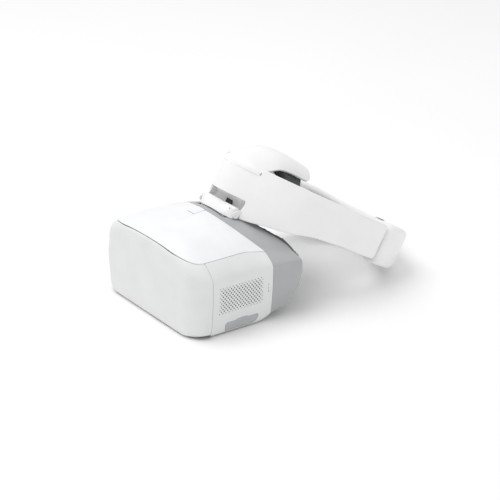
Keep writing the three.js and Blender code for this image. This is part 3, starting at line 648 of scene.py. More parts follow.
def make_side_panel(sign):
    """One side: the left has the vent, the port and three microphone holes, the right a touch pad and two buttons."""
    ts = spread([T_SIDE - 7.5, T_SIDE - 4.5, T_SIDE, T_COVER - 16, T_COVER - GAP / 2 - ROLL], [3, 8, 40, 14])
    ys = spread([SEAM_Y + GAP + ROLL, HEEL_Y[0] - 2, WHITE_END_Y - ROLL], [24, 18])
    grid_t = np.repeat(ts, len(ys)) * sign
    grid_y = np.tile(ys, len(ts))
    points = skin(grid_t, grid_y)
    hint = points - np.array([0, 0, 40])
    hint[:, 1] = 0
    normals = surface_normals(skin, grid_t, grid_y, hint)
    faces = grid_faces(len(ts), len(ys))
    name = "left" if sign > 0 else "right"
    obj = shell(f"{name}_side_skin", points, normals, faces, SKIN_THICK, WHITE, "goggles", ROLL,
                replaces=(f"{name}_side_panel",), slot="white_shell")
    if sign > 0:
        vent = prism(rounded_rect(VENT_Y[0] + 0.07, VENT_Z[0] + 0.07, VENT_Y[1] - 0.07, VENT_Z[1] - 0.07, 1.2),
                     85, 110, 0)
        port = prism(port_outline(0.25), 80, 110, 0)
        microphones = [prism(circle(MIC_Y, z, MIC_R, 12), 85, 110, 0) for z in MIC_Z]
        return cut(obj, *[loose_solid(*solid) for solid in [vent, port] + microphones])
    pad = prism(rounded_rect(33.8, 25.8, 84.2, 66.2, 8), -110, -85, 0)
    holes = [prism(circle(y, BUTTON_Z, BUTTON_R + GAP, 32), -110, -85, 0) for y in BUTTON_Y]
    return cut(obj, *[loose_solid(*solid) for solid in [pad] + holes])


def port_outline(grow):
    """The port flap seen from the side: slanting rear corner, and a low finger lip in its top edge."""
    y0, y1 = PORT_Y[0] - grow, PORT_Y[1] + grow
    z0, z1 = PORT_Z[0] - grow, PORT_Z[1] + grow
    points = [(y0 + 0.8, z0), (y1 - 7, z0), (y1 - 3.2, z0 + 1.4), (y1 - 1.2, z0 + 4.2), (y1, z1 - 3),
              (y1 - 0.6, z1 - 1),
              (y1 - 2.4, z1)]
    points += [(72, z1), (70.5, z1 + 1.1), (57.5, z1 + 1.1), (56, z1), (y0 + 3.2, z1), (y0 + 1.2, z1 - 0.8),
               (y0, z1 - 2.6), (y0, z0 + 0.8)]
    return points


def side_skin_at(y, z, inset):
    """A point on the left side at a depth and a height, below the shoulder."""
    y, z = np.asarray(y, float), np.asarray(z, float)
    return np.stack([side_at(z) - inset, y, z], -1)


def make_grille():
    """The speaker and fan grille: staggered round holes that shrink away towards the edge of the field."""
    cells_y, cells_z = 30, 15
    y0, y1, z0, z1 = VENT_Y[0] + 0.05, VENT_Y[1] - 0.05, VENT_Z[0] + 0.05, VENT_Z[1] - 0.05
    step_y, step_z = (y1 - y0) / cells_y, (z1 - z0) / cells_z
    points, faces, depth = [], [], 0.8
    index = {}

    def vertex(y, z, inset=0.0):
        key = (round(y, 4), round(z, 4), round(inset, 4))
        if key not in index:
            index[key] = len(points)
            points.append(side_skin_at(y, z, inset))
        return index[key]

    ring = [(-1, -1), (0, -1), (1, -1), (1, 0), (1, 1), (0, 1), (-1, 1), (-1, 0)]
    for i in range(cells_y):
        for j in range(cells_z):
            cy, cz = y0 + (i + 0.5) * step_y, z0 + (j + 0.5) * step_z
            outer = [(cy + a * step_y / 2, cz + b * step_z / 2) for a, b in ring]
            edge = min(i + 0.5, cells_y - i - 0.5, (j + 0.5) * 1.15, (cells_z - j - 0.5) * 1.15)
            reach = np.clip((edge - 0.6) / 2.6, 0, 1)
            for inset in (0.0, depth):
                top = [vertex(y, z, inset) for y, z in outer]
                if (i + j) % 2 or reach <= 0:
                    faces.append(tuple(top) if inset == 0 else tuple(reversed(top)))
            if (i + j) % 2 or reach <= 0:
                continue
            radius = 0.5 + 0.5 * reach
            rim = [(cy + radius * a / math.hypot(a, b), cz + radius * b / math.hypot(a, b)) for a, b in ring]
            front_rim = [vertex(y, z, 0.0) for y, z in rim]
            back_rim = [vertex(y, z, depth) for y, z in rim]
            front = [vertex(y, z, 0.0) for y, z in outer]
            back = [vertex(y, z, depth) for y, z in outer]
            for k in range(8):
                n = (k + 1) % 8
                faces.append((front[k], front[n], front_rim[n], front_rim[k]))
                faces.append((back[n], back[k], back_rim[k], back_rim[n]))
                faces.append((front_rim[k], front_rim[n], back_rim[n], back_rim[k]))
    border = []
    for i in range(cells_y):
        for f in (0.0, 0.5):
            border.append((y0 + (i + f) * step_y, z0))
    for j in range(cells_z):
        for f in (0.0, 0.5):
            border.append((y1, z0 + (j + f) * step_z))
    for i in range(cells_y):
        for f in (0.0, 0.5):
            border.append((y1 - (i + f) * step_y, z1))
    for j in range(cells_z):
        for f in (0.0, 0.5):
            border.append((y0, z1 - (j + f) * step_z))
    for a, b in zip(border, border[1:] + border[:1]):
        faces.append((vertex(*b), vertex(*a), vertex(*a, depth), vertex(*b, depth)))
    sheet = [(y0 - 2, z0 - 2), (y1 + 2, z0 - 2), (y1 + 2, z1 + 2), (y0 - 2, z1 + 2)]
    mesh_points, mesh_faces = prism(sheet, 91.2, 91.7, 0)  # solid dark sheet behind the holes: painted shade seen through the grille
    piece("grille_shade_sheet", np.array(mesh_points), mesh_faces, DARK, "goggles", (), "dark_plastic", smooth=False)
    return piece("vent_grille_skin", np.array(points), faces, WHITE, "goggles", ("vent_grille",), "white_shell",
                 smooth=False)


def patch_from_outline(outline, place, depth, roll, name, material, body, rings=10, **extra):
    """A curved plate with any star-shaped outline: rings of points from its middle, placed by a function."""
    outline = np.array(outline, float)
    dense = []
    for a, b in zip(outline, np.roll(outline, -1, axis=0)):
        n = max(int(np.linalg.norm(b - a) / 1.2), 1)
        dense += [a + (b - a) * k / n for k in range(n)]
    dense = np.array(dense)
    middle = (dense.min(0) + dense.max(0)) / 2
    away = dense - middle
    away *= 1 - roll / np.maximum(np.linalg.norm(away, axis=1, keepdims=True), 1e-6)
    scale = np.linspace(0.06, 1, rings)
    flat = np.concatenate([[middle]] + [middle + away * s for s in scale])
    points = place(flat[:, 0], flat[:, 1])
    step = 0.05
    du = place(flat[:, 0] + step, flat[:, 1]) - place(flat[:, 0] - step, flat[:, 1])
    dv = place(flat[:, 0], flat[:, 1] + step) - place(flat[:, 0], flat[:, 1] - step)
    normals = np.cross(du, dv)
    normals /= np.linalg.norm(normals, axis=1, keepdims=True)
    hint = points - extra.pop("centre")
    if np.sum(normals * hint) < 0:
        normals = -normals
    n = len(dense)
    faces = [(0, 1 + k, 1 + (k + 1) % n) for k in range(n)]
    for r in range(rings - 1):
        for k in range(n):
            a, b = 1 + r * n + k, 1 + r * n + (k + 1) % n
            faces.append((a, a + n, b + n, b))
    return shell(name, points, normals, faces, depth, material, body, roll, **extra)


GOGGLES_MIDDLE = np.array([0.0, 60.0, 45.0])


def make_port_cover():
    def place(y, z):
        lip = np.clip((z - (PORT_Z[1] - 2.2)) / 2.2, 0, 1) * np.clip(1 - np.abs(y - 63.5) / 7.5, 0, 1) ** 0.4
        return side_skin_at(y, z, 0.12 - 0.9 * lip)
    return patch_from_outline(port_outline(-0.15), place, 1.9, 0.5, "port_flap_skin", PORT, "port_flap",
                              replaces=("port_cover",), slot="port_grey", centre=GOGGLES_MIDDLE)


def make_touch_pad():
    def place(y, z):
        flat = skin_side_upper(z)
        return np.stack([-(flat + 0.0), y, z], -1)
    return patch_from_outline(rounded_rect(34.2, 26.2, 83.8, 65.8, 7.8), place, 1.0, 0.35, "touch_pad_skin", TOUCH,
                              "goggles", replaces=("touch_pad",), slot="touch", centre=GOGGLES_MIDDLE)


def skin_side_upper(z):
    """Half-width of the body at a height, on the side and the shoulder."""
    part = SECTION[82:180]
    return np.interp(z, part[:, 1], part[:, 0])


def make_release():
    def place(x, y):
        raised = top_skin(x, y)
        raised[..., 2] += 0.7
        return raised
    outline = rounded_rect(-6.7, 61.1, 6.7, RIDGE_Y - 0.5, 1.2)
    return patch_from_outline(outline, place, 4.0, 0.5, "release_key_skin", COVER, "release_key",
                              replaces=("release_button",), slot="cover_white", centre=GOGGLES_MIDDLE)


def forehead_arc(x):
    return FACE_CENTRE_Y - np.sqrt(np.maximum(FACE_R ** 2 - np.clip(x, -100, 100) ** 2, 1))


def make_rear_housing():
    """The grey band behind the white panels, from one side of the nose over the top to the other."""
    t_nose = float(np.interp(NOSE_HALF, SECTION[:60, 0], SECTION_RUN[:60]))
    half = spread([t_nose, T_SIDE - 6, T_SIDE, T_COVER - 16, T_COVER, T_END], [18, 8, 34, 14, 44])
    ts = np.concatenate([half, -half[:-1][::-1]])
    x_section, z_section = section_at(ts)
    starts = np.where(np.abs(x_section) < COVER_HALF, white_arc(x_section), WHITE_END_Y) + GAP
    low = z_section < BODY_BOTTOM + BOTTOM_FILLET
    fade = np.clip((T_SIDE - np.abs(ts)) / 6, 0, 1)
    starts = np.where(low, WHITE_END_Y + GAP - (WHITE_END_Y + GAP - HOUSING_LIP) * fade, starts) + ROLL
    ends = []
    for t in ts:
        ys = np.linspace(100, REAR_Y, 500)
        run = skin(np.full(500, t), ys)
        over = run[:, 1] > forehead_arc(run[:, 0])
        ends.append((ys[np.argmax(over)] if over.any() else REAR_Y) - ROLL)
    ends = np.array(ends)
    apart = np.abs(ts[:, None] - ts[None, :]) / 15
    weights = np.where(apart < 1, 1 - apart ** 2, 0)  # rounds the corner between the top and the sides
    ends = np.maximum(np.minimum(weights @ ends / weights.sum(1), ends), starts + 1)
    rows = spread([0, 0.1, 0.9, 1], [4, 18, 4])
    grid_t = np.repeat(ts, len(rows))
    grid_y = (starts[:, None] + (ends - starts)[:, None] * rows[None]).ravel()
    points = skin(grid_t, grid_y)
    hint = points - np.array([0, 0, 45])
    hint[:, 1] = 0
    normals = surface_normals(skin, grid_t, grid_y, hint)
    faces = grid_faces(len(ts), len(rows))
    obj = shell("rear_housing_skin", points, normals, faces, HOUSING_THICK, HOUSING, "goggles", ROLL,
                replaces=("rear_housing",), slot="housing_grey")
    mouth = prism(rounded_rect(-26.6, 85.4, 26.6, 105.8, 2), 80, 130, 2)
    return cut(obj, loose_solid(*mouth))


# ---- The headband -----------------------------------------------------------------------------------
LOWER_EDGE = np.array([(-30, 5), (12, 5), (28, 9.5), (46, 13), (75, 21), (110, 24), (200, 24), (225, 24.5),
                       (248, 28.95), (270, 28.95)], float)
TONGUE_CENTRE = [(-7, 58), (-5.5, 66), (2.6, 73.4), (16, 83), (31, 89.5), (48, 91.5), (66, 90.4), (84, 88)]
TONGUE_EDGE = [(9.5, 58), (10.5, 62), (18.5, 66), (30.5, 71.9), (40, 74), (54, 74.2), (68, 73.6), (84, 72.3)]


def ring_point(degrees, inset=0.0):
    def at(angle):
        x = RING_HALF * np.sin(angle)
        nose = np.where(np.cos(angle) > 0, NOSE_OUT * np.exp(-((x / NOSE_WIDTH) ** 2)), 0)
        return np.stack([x, RING_CENTRE - RING_LENGTH * np.cos(angle) - nose], -1)
    angle = np.radians(degrees)
    ahead, behind = at(angle + 1e-3), at(angle - 1e-3)
    run = ahead - behind
    run = run / np.linalg.norm(run, axis=-1, keepdims=True)
    normal = np.stack([run[..., 1], -run[..., 0]], -1)
    return at(angle) - np.asarray(inset)[..., None] * normal


def lower_edge(s):
    smooth = np.interp(np.linspace(-30, 270, 601), LOWER_EDGE[:, 0], LOWER_EDGE[:, 1])
    smooth = np.convolve(np.pad(smooth, 12, mode="edge"), np.ones(25) / 25, mode="valid")
    return np.interp(s, np.linspace(-30, 270, 601), smooth)


def spline_through(points, t):
    """The same uniform Catmull-Rom curve as the CAD's."""
    p = np.array(points, float)
    at = np.clip(np.asarray(t, float), 0, 1) * (len(p) - 1)
    i = np.minimum(np.floor(at).astype(int), len(p) - 2)
    w = (at - i)[..., None]
    p0, p1 = p[np.maximum(i - 1, 0)], p[i]
    p2, p3 = p[np.minimum(i + 1, len(p) - 1)], p[np.minimum(i + 2, len(p) - 1)]
    v0, v1 = (p2 - p0) / 2, (p3 - p1) / 2
    return (2 * p1 - 2 * p2 + v0 + v1) * w ** 3 + (-3 * p1 + 3 * p2 - 2 * v0 - v1) * w ** 2 + v0 * w + p1


def tongue_point(x, u):
    c, e = spline_through(TONGUE_CENTRE, u), spline_through(TONGUE_EDGE, u)
    power = 2 + 1.3 * np.clip((np.asarray(u, float) - 0.35) / 0.35, 0, 1)
    k = (np.abs(np.asarray(x, float) / TONGUE_HALF) ** power)[..., None]
    flat = c + (e - c) * k
    return np.stack([np.asarray(x, float), flat[..., 0], flat[..., 1]], -1)


def angle_at_width(x):
    return np.degrees(np.arcsin(np.clip(np.asarray(x, float) / RING_HALF, -1, 1)))


def make_headband():
    """One moulding: the front plate that runs up into the crown tongue, and the two arms."""
    window_x = spread([0, 30, 32.6, 33.6, 33.9], [16, 6, 6, 1])
    outer_x = np.array([34.0, 34.3])
    central = np.concatenate([window_x, outer_x])
    arm_angles = spread([float(angle_at_width(36.2)), 60, ARM_END - 0.3], [26, 30])
    half = [("tongue", x, float(angle_at_width(x))) for x in central] + [("arm", None, a) for a in arm_angles]
    columns = [(kind, -x if x is not None else None, -a) for kind, x, a in half[1:]][::-1] + half
    shared, upper = 22, 46
    points, kinds = [], []
    for kind, x, angle in columns:
        base = ring_point(np.array([angle]))[0]
        low = float(lower_edge(base[1])) + 0.5
        if abs(base[0]) < WINDOW_HALF - 0.05:
            corner = np.clip((abs(base[0]) - 31.0) / 3.0, 0, 1)
            low = RECESS_TOP + 0.5 - 3.0 * (1 - math.sqrt(1 - corner ** 2))
            if abs(base[0]) > WINDOW_HALF - 0.3:
                low = RECESS_TOP - 8
        near_end = np.clip((abs(angle) - (ARM_END - 3.2)) / 3.2, 0, 1)
        trim = 4.5 * (1 - math.sqrt(max(1 - near_end ** 2, 0)))
        hs = low + trim + (TONGUE_START - low - trim) * np.linspace(0, 1, shared)
        column = [(*base, h) for h in hs]
        if kind == "arm":
            column += [(*base, h) for h in np.linspace(TONGUE_START, ARM_TOP - 0.5 - trim, upper + 1)[1:]]
        else:
            for u in spread([0, 0.3, 1], [20, 26])[1:]:
                left = np.clip(0.1 - (1 - u), 0, 0.1) / 0.1
                width = x * (1 - (1 - math.sqrt(1 - 0.98 * left ** 2)) * 0.2)
                place = tongue_point(np.array(width), np.array(u))
                place[1] += 4.0 * (1 - (x / TONGUE_HALF) ** 2) * np.clip((u - 0.8) / 0.2, 0, 1)
                column.append(tuple(place))
        points.append(column)
        kinds.append(kind)
    points = np.array(points)
    rows = shared + upper
    along_col = np.gradient(points, axis=1)
    normals = np.zeros_like(points)
    for k, kind in enumerate(kinds):
        lo = k - 1 if k > 0 and kinds[k - 1] == kind else k
        hi = k + 1 if k + 1 < len(kinds) and kinds[k + 1] == kind else k
        across_run = points[hi] - points[lo]
        normals[k] = np.cross(across_run, along_col[k])
    normals /= np.maximum(np.linalg.norm(normals, axis=2, keepdims=True), 1e-9)
    for k, (kind, x, angle) in enumerate(columns):
        ring_pair = ring_point(np.array([angle - 0.05, angle + 0.05]))
        run = ring_pair[1] - ring_pair[0]
        upright = np.array([run[1], -run[0], 0]) / np.linalg.norm(run)  # the plate below the tongue is upright too
        normals[k, :rows if kind == "arm" else shared] = upright
    middle = np.array([0, RING_CENTRE, 0])
    away = points - middle
    away[..., 2] = np.maximum(points[..., 2] - 40, 0)
    flip = np.sign(np.sum(normals * away, axis=2, keepdims=True))
    normals *= np.where(flip == 0, 1, flip)

    def slit(i, j):
        return kinds[i] != kinds[i + 1] and j >= shared - 1  # tongue and arms part above the plate

    faces = grid_faces(len(columns), rows, skip=slit)
    flat_points, flat_normals = points.reshape(-1, 3), normals.reshape(-1, 3)
    faces = [tuple(f) for f in oriented(flat_points, flat_normals, faces)]
    verts, out = thicken(flat_points, flat_normals, faces, BAND_THICK, 0.7)
    obj = piece("headband_skin", from_ring(verts), out, BAND, "headband", ("headband_shell",), "headband_white")
    return facing(obj, 50)


def make_cradle():
    """The rear cradle: a rounded band whose two ends stand out as caps beside the arms."""
    first, last = 111.2, 248.8
    angles = spread([first, 114, 180, 246, last], [6, 50, 50, 6])
    points = []
    for angle in angles:
        s = float(ring_point(np.array([angle]))[0, 1])
        from_end = min(angle - first, last - angle)
        cap = np.clip(1 - (from_end - 12) / 30, 0, 1)
        cap = cap * cap * (3 - 2 * cap)
        low, high = float(lower_edge(s)) + 0.1 - 5 * cap, ARM_TOP - 0.1 + 3 * cap
        out = float(np.interp(from_end, [0, 2, 8, 16, 26, 36, 46], [2.5, 4.5, 7, 9.5, 9, 4.5, 0]))
        close = math.sqrt(max(1 - (1 - min(from_end / 2.8, 1)) ** 2, 0))
        inset0, inset1 = 3.2 * (1 - close) - out, CRADLE_THICK - 3.2 * (1 - close)
        low, high = low + 3.2 * (1 - close), high - 3.2 * (1 - close)
        outline = rounded_rect(inset0, low, inset1, high, 6.0 * (0.55 + 0.45 * close), 6)
        for inset, h in outline:
            p = ring_point(np.array([angle]), np.array([inset]))[0]
            points.append((p[0], p[1], h))
    n = len(outline)
    faces = []
    for k in range(len(angles) - 1):
        for i in range(n):
            a, b = k * n + i, k * n + (i + 1) % n
            faces.append((a, b, b + n, a + n))
    faces.append(tuple(range(n)))
    faces.append(tuple(reversed(range((len(angles) - 1) * n, len(angles) * n))))
    obj = piece("rear_cradle_skin", from_ring(np.array(points)), faces, BAND, "cradle", ("rear_cradle",),
                "headband_white")
    outward(obj)
    points, sides = prism(circle(0, KNOB_H, 15.8, 48), 239.5, 262, 1)
    return cut(obj, loose_solid(from_ring(np.array(points)), sides))


def make_hinge_block():
    """The white block that carries the hinge: bowed front, rounded top, one small round hole through its front near one
    end.
    """
    profile = np.array([(-13, -14), (-11.2, -8), (-9.5, -3.5), (-5.5, 5.5), (-1.5, 12.6), (0.2, 14.6), (2.4, 15.4),
                        (6.6, 15.1),
                        (9.4, 12.8), (11.4, 8.6), (12.2, 1.5), (12.5, -6), (12.5, -14)], float)
    xs = spread([-30.9, -30.2, -28.5, 28.5, 30.2, 30.9], [2, 3, 24, 3, 2])
    points = []
    for x in xs:
        front = -8.4 + 9.4 * (x / 31) ** 2
        edge = np.clip((abs(x) - 28.5) / 2.4, 0, 1)
        pull = 1.6 * (1 - math.sqrt(max(1 - edge ** 2, 0)))
        for s, h in profile:
            s2 = max(s, front) if h < 12 else s
            centre = np.array([4.0, 2.0])
            away = np.array([s2, h]) - centre
            length = np.linalg.norm(away)
            moved = centre + away * (1 - pull / length)
            points.append((x, moved[0], moved[1]))
    n = len(profile)
    faces = grid_faces(len(xs), n)
    faces += [(k * n + n - 1, k * n, (k + 1) * n, (k + 1) * n + n - 1)[::-1] for k in range(len(xs) - 1)]
    faces += [tuple(range(n)), tuple(reversed(range((len(xs) - 1) * n, len(xs) * n)))]
    obj = piece("hinge_block_skin", from_ring(np.array(points)), faces, BAND, "hinge_mount", (), "headband_white")
    outward(obj)
    xs = np.linspace(-32, 32, 41)
    ys = np.linspace(80, 110, 16)
    gx, gy = np.repeat(xs, len(ys)), np.tile(ys, len(xs))
    roof = top_skin(gx, gy)
    roof[:, 2] = crown(roof[:, 0]) - REAR_SLOPE * np.maximum(roof[:, 1] - RIDGE_Y, 0) + 0.7
    under = roof.copy()
    under[:, 2] = 60
    n = len(roof)
    faces = grid_faces(len(xs), len(ys))
    faces += [tuple(v + n for v in reversed(f)) for f in faces]
    cols, rows = len(xs), len(ys)
    border = [i * rows for i in range(cols)] + [(cols - 1) * rows + j for j in range(1, rows)]
    border += [i * rows + rows - 1 for i in range(cols - 2, -1, -1)] + [j for j in range(rows - 2, 0, -1)]
    faces += [(a, b, b + n, a + n) for a, b in zip(border, border[1:] + border[:1])]
    cut(obj, loose_solid(np.vstack([roof, under]), faces))
    sight_points, sight_faces = prism(circle(24.5, 11.6, 1.1, 16), -12, 1.5, 1)
    cut(obj, loose_solid(from_ring(np.array(sight_points)), sight_faces))
    foot_points, foot_faces = prism(rounded_rect(-21.8, 89.2, 21.8, 101.8, 1.2, 4), 84.2, 103, 2)
    piece("hinge_foot", np.array(foot_points), foot_faces, BAND, "hinge_mount", ("hinge_block",), "headband_white",
          smooth=False)
    hole_at = from_ring(np.array([[12.5, 2.2, 15.6]]))[0]
    return obj, hole_at


def make_cove():
    """The hollow behind the hinge block, a hooded cove that follows the plate, with a lug at each end for the pin."""
    xs = spread([-33.6, -31.5, 31.5, 33.6], [4, 26, 4])
    profile = [(1.2, 26.4), (3.5, 26.2), (7.5, 24.8), (11.5, 22.0), (14.6, 18.0), (16.2, 12.5)]
    points, normals = [], []
    for x in xs:
        front = float(ring_point(np.array([float(angle_at_width(x))]))[0, 1])
        for k, (s, h) in enumerate(profile):
            depth = min(front + s, 17.6)
            points.append((x, max(depth, s), h))
            normals.append((0, -0.75, -0.66))
    points, normals = np.array(points), np.array(normals)
    faces = [tuple(f) for f in oriented(points, normals, grid_faces(len(xs), len(profile)))]
    verts, out = thicken(points, normals, faces, 1.4, 0.2, 1)
    facing(piece("tilt_cove", from_ring(verts), out, BAND, "headband", ("tilt_bracket",), "headband_white"))
    lug = np.array([(-1, 8), (0.5, 4.6), (4, 3.2), (7.5, 4.6), (9.5, 11.5), (18, 12), (18.4, 26), (11.2, 26), (9.6, 19),
                    (8.4, 14.4), (3, 12.2)])
    for sign, name in ((1, "left"), (-1, "right")):
        lug_points, lug_faces = prism(lug, sign * 33.4, sign * 31.7, 0)
        obj = piece(f"{name}_hinge_lug", from_ring(np.array(lug_points)), lug_faces, BAND, "headband", (),
                    "headband_white")
        outward(obj)
        facing(obj)
    # a dark block in the middle of the cove: painted shade for the dark spot in the hollow
    slot_points, slot_faces = prism(rounded_rect(-5, 12.6, 6, 16.0, 1.4, 4), 12.5, 19.6, 2)
    piece("cove_shade_block", from_ring(np.array(slot_points)), slot_faces, DARK, "headband", (), "dark_plastic",
          smooth=False)


def lathe(profile, sides, axis_points):
    """A turned solid along Y: profile is (radius, y); axis_points gives the centre (x, z)."""
    points, faces = [], []
    n = len(profile)
    for k in range(sides):
        a = 2 * math.pi * k / sides
        points += [(axis_points[0] + r * math.cos(a), y, axis_points[1] + r * math.sin(a)) for r, y in profile]
    for k in range(sides):
        for j in range(n):
            a, b = k * n + j, ((k + 1) % sides) * n + j
            c, d = k * n + (j + 1) % n, ((k + 1) % sides) * n + (j + 1) % n
            faces.append((a, c, d, b))
    return np.array(points), faces


def make_knob():
    """The adjustment knob at the back: a low turned cap with finger flutes and a dished face."""
    outline = [(0.05, 251.3), (6, 251.4), (10.5, 251.9), (12.6, 252.2), (13.8, 251.9), (14.6, 251.0), (15, 249.6),
               (15, 241.4),
               (14.4, 240.6), (3.1, 240.5), (3.1, 233), (0.05, 233)]
    sides = 180
    points, faces = [], []
    for k in range(sides):
        angle = 2 * math.pi * k / sides
        flute = 0.75 * max(math.cos(angle * 18), -0.2)
        for r, s in outline:
            edge = np.clip((r - 11) / 3, 0, 1)
            points.append(((r - flute * edge) * math.cos(angle), s, KNOB_H + (r - flute * edge) * math.sin(angle)))
    n = len(outline)
    for k in range(sides):
        for j in range(n - 1):
            a, b = k * n + j, ((k + 1) % sides) * n + j
            faces.append((a, a + 1, b + 1, b))
    faces += [tuple(k * n for k in range(sides)), tuple(k * n + n - 1 for k in reversed(range(sides)))]
    obj = piece("adjust_knob_finish", from_ring(np.array(points)), faces, GRIP, "knob", ("adjust_knob",), "grip_grey")
    outward(obj)
    return facing(obj)


def make_eyepieces():
    for sign, name in ((1, "left"), (-1, "right")):
        x = sign * LENS_X
        wall = [(21.3, 57), (21.3, 86.8), (20.9, 87.7), (20.3, 88), (19.9, 87.6), (19.5, 86.9), (19.5, 57)]
        points, faces = lathe(wall, 72, (x, LENS_Z))
        facing(piece(f"{name}_eyecup_skin", points, faces, DARK, f"{name}_eyepiece", (), "dark_plastic"))
        curve = [(r, 80 + 5 - 4 * (r / 19) ** 2) for r in np.linspace(0.05, 19, 12)]
        curve += [(r, 80 - 5 + 4 * (r / 19) ** 2) for r in np.linspace(19, 0.05, 12)]
        points, faces = lathe(curve, 64, (x, LENS_Z))
        facing(piece(f"{name}_lens_skin", points, faces, LENS, f"{name}_eyepiece", (f"{name}_lens",), "lens_glass"))


# ---- Soft pieces ------------------------------------------------------------------------------------
def soft_pad(node, name, voxel=4.5, shrink=0.5, cap=2.4, pressure=4.0, form=None):
    """A covered foam pad: the CAD solid, drawn in a little, remeshed, then blown up as cloth within a limit."""
    source = NODES[node]
    obj = bpy.data.objects.new(name, source.data.copy())
    bpy.context.scene.collection.objects.link(obj)
    work = bmesh.new()
    work.from_mesh(obj.data)
    bmesh.ops.remove_doubles(work, verts=work.verts, dist=2e-6)
    work.to_mesh(obj.data)
    work.free()
    remesh = obj.modifiers.new("remesh", "REMESH")
    remesh.mode = "VOXEL"
    remesh.voxel_size = ((voxel / 2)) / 1000
    apply_modifiers(obj)
    smooth = obj.modifiers.new("smooth", "SMOOTH")
    smooth.factor = 0.5
    smooth.iterations = 4
    apply_modifiers(obj)
    start = np.array([v.co[:] for v in obj.data.vertices])
    normals = np.array([v.normal[:] for v in obj.data.vertices])
    start -= normals * shrink / 1000
    if form:
        start = form(start)
    for vertex, co in zip(obj.data.vertices, start):
        vertex.co = co
    obj.data.update()
    cloth = obj.modifiers.new("cloth", "CLOTH")
    cloth.settings.use_pressure = True
    cloth.settings.uniform_pressure_force = pressure
    cloth.settings.effector_weights.gravity = 0
    cloth.settings.quality = 4
    scene = bpy.context.scene
    for number in range(1, 21):
        scene.frame_set(number)
    apply_modifiers(obj)
    scene.frame_set(1)
    blown = np.array([v.co[:] for v in obj.data.vertices])
    move = blown - start
    length = np.linalg.norm(move, axis=1, keepdims=True)
    move *= np.minimum(1, cap / 1000 / np.maximum(length, 1e-9))
    for vertex, co in zip(obj.data.vertices, start + move):
        vertex.co = co
    obj.data.update()
    finer = obj.modifiers.new("finer", "SUBSURF")
    finer.levels = finer.render_levels = 1
    apply_modifiers(obj)
    dress(obj, FOAM, source["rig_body"], (node,))
    return obj


def drawn_in(metres):
    """The face foam leans inwards behind the housing's edge at the sides."""
    p = metres * 1000 - SHIFT
    behind = np.clip((p[:, 1] - rear_at(p[:, 2]) + 1) / 10, 0, 1)
    p[:, 0] *= 1 - 0.16 * behind
    p[:, 2] -= 3.0 * np.clip((p[:, 2] - 62) / 20, 0, 1)
    return to_metres(p)


def tucked(metres):
    """The crown pad stays inside the tongue's edges."""
    middle = (metres.min(0) + metres.max(0)) / 2
    return middle + (metres - middle) * np.array([0.92, 0.9, 0.97])


# ---- Build ------------------------------------------------------------------------------------------
CARRIED = {
    "left_guide": BUTTON, "right_guide": BUTTON, "left_battery": CELL, "right_battery": CELL, "power_board": BOARD,
    "charge_port": DARK, "knob_pinion": BUTTON, "port_block": DARK, "eyepiece_panel": DARK, "ipd_wheel": MID,
    "left_lens_barrel": DARK, "right_lens_barrel": DARK, "display_panel": SCREEN, "beam_splitter": BEAM,
    "mirror_plate": MIRROR, "main_board": BOARD, "heat_sink": METAL, "proximity_window": SCREEN, "fan_housing": DARK,
    "fan_rotor": DARK, "left_speaker": DARK, "right_speaker": DARK, "headband_socket": MID, "hinge_pin": STEEL,
}
for carried_node, carried_material in CARRIED.items():
    NODES[carried_node].data.materials.clear()
    NODES[carried_node].data.materials.append(carried_material)

make_front_shell()
make_top_cover()
make_side_panel(1)
make_side_panel(-1)
make_grille()
make_port_cover()
make_touch_pad()
make_release()
make_rear_housing()
make_headband()
make_cradle()
make_hinge_block()
make_cove()
make_knob()
make_eyepieces()
for node, material, bevel in (
        ("left_arm_liner", LINER, 0.8), ("right_arm_liner", LINER, 0.8),
        ("base_plate", MID, 0.6), ("nose_flap", RUBBER, 0.4), ("back_button", BUTTON, 0.5),
        ("function_button", BUTTON, 0.5), ("power_button", BUTTON, 0.5), ("status_lights", PIPE, 0.2),
        ("foot_1", RUBBER, 0.3), ("foot_2", RUBBER, 0.3), ("foot_3", RUBBER, 0.3),
        ("foot_4", RUBBER, 0.3)):
    refined(node, material, bevel)
soft_pad("face_foam", "face_foam_pad", shrink=0.9, cap=1.2, form=drawn_in)
soft_pad("forehead_pad", "forehead_cushion")
soft_pad("crown_pad", "crown_cushion", form=tucked)
soft_pad("rear_pad", "rear_cushion")

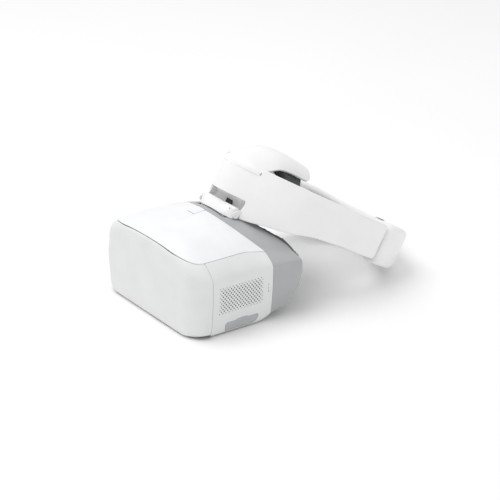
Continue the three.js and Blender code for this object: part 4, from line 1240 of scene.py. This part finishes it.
# ---- Floor, light and camera --------------------------------------------------------------------------
bpy.ops.mesh.primitive_plane_add(size=8, location=(0, 0, 0))
floor = bpy.context.object
floor.name = "floor"
floor_material, floor_tree, floor_shader = node_material("floor_white")
floor_shader.inputs["Roughness"].default_value = 0.9
floor_shader.inputs["Specular IOR Level"].default_value = 0.0
floor_noise = noise_of(floor_tree, 3, 1)
floor_tree.links.new(ramp_between(floor_tree, floor_noise.outputs["Fac"], (0.955,) * 3, (0.965,) * 3).outputs["Color"],
                     floor_shader.inputs["Base Color"])
floor.data.materials.append(floor_material)

world = bpy.data.worlds.new("studio")
bpy.context.scene.world = world
world.use_nodes = True
world.node_tree.nodes["Background"].inputs["Color"].default_value = (1, 1, 1, 1)
world.node_tree.nodes["Background"].inputs["Strength"].default_value = 0.76


def area_light(name, place, aim, size, power):
    data = bpy.data.lights.new(name, "AREA")
    data.shape = "DISK"
    data.size = size
    data.energy = power
    obj = bpy.data.objects.new(name, data)
    bpy.context.scene.collection.objects.link(obj)
    obj.location = place
    obj.rotation_euler = (Vector(aim) - Vector(place)).to_track_quat("-Z", "Y").to_euler()
    return obj


area_light("overhead", (-0.45, -0.6, 2.1), (0, 0, 0.05), 1.7, 20)

AZIMUTH, ELEVATION, DISTANCE = math.radians(54.42), math.radians(23.76), 2018.07
LENS_MM = 128.515
right = np.array([math.cos(AZIMUTH), math.sin(AZIMUTH), 0])
towards = np.array([math.sin(AZIMUTH) * math.cos(ELEVATION), -math.cos(AZIMUTH) * math.cos(ELEVATION),
                    math.sin(ELEVATION)])
up = np.cross(towards, right)
aim = np.array([0, 80, 55]) + right * 50.35 + up * 0.25
camera_data = bpy.data.cameras.new("camera")
camera_data.sensor_width = 36
camera_data.lens = LENS_MM
camera_data.clip_end = 20
camera = bpy.data.objects.new("camera", camera_data)
bpy.context.scene.collection.objects.link(camera)
camera.location = Vector(to_metres(aim + towards * DISTANCE))
camera.rotation_euler = Vector(towards).to_track_quat("Z", "Y").to_euler()
bpy.context.scene.camera = camera
bpy.context.scene.view_settings.view_transform = "Standard"
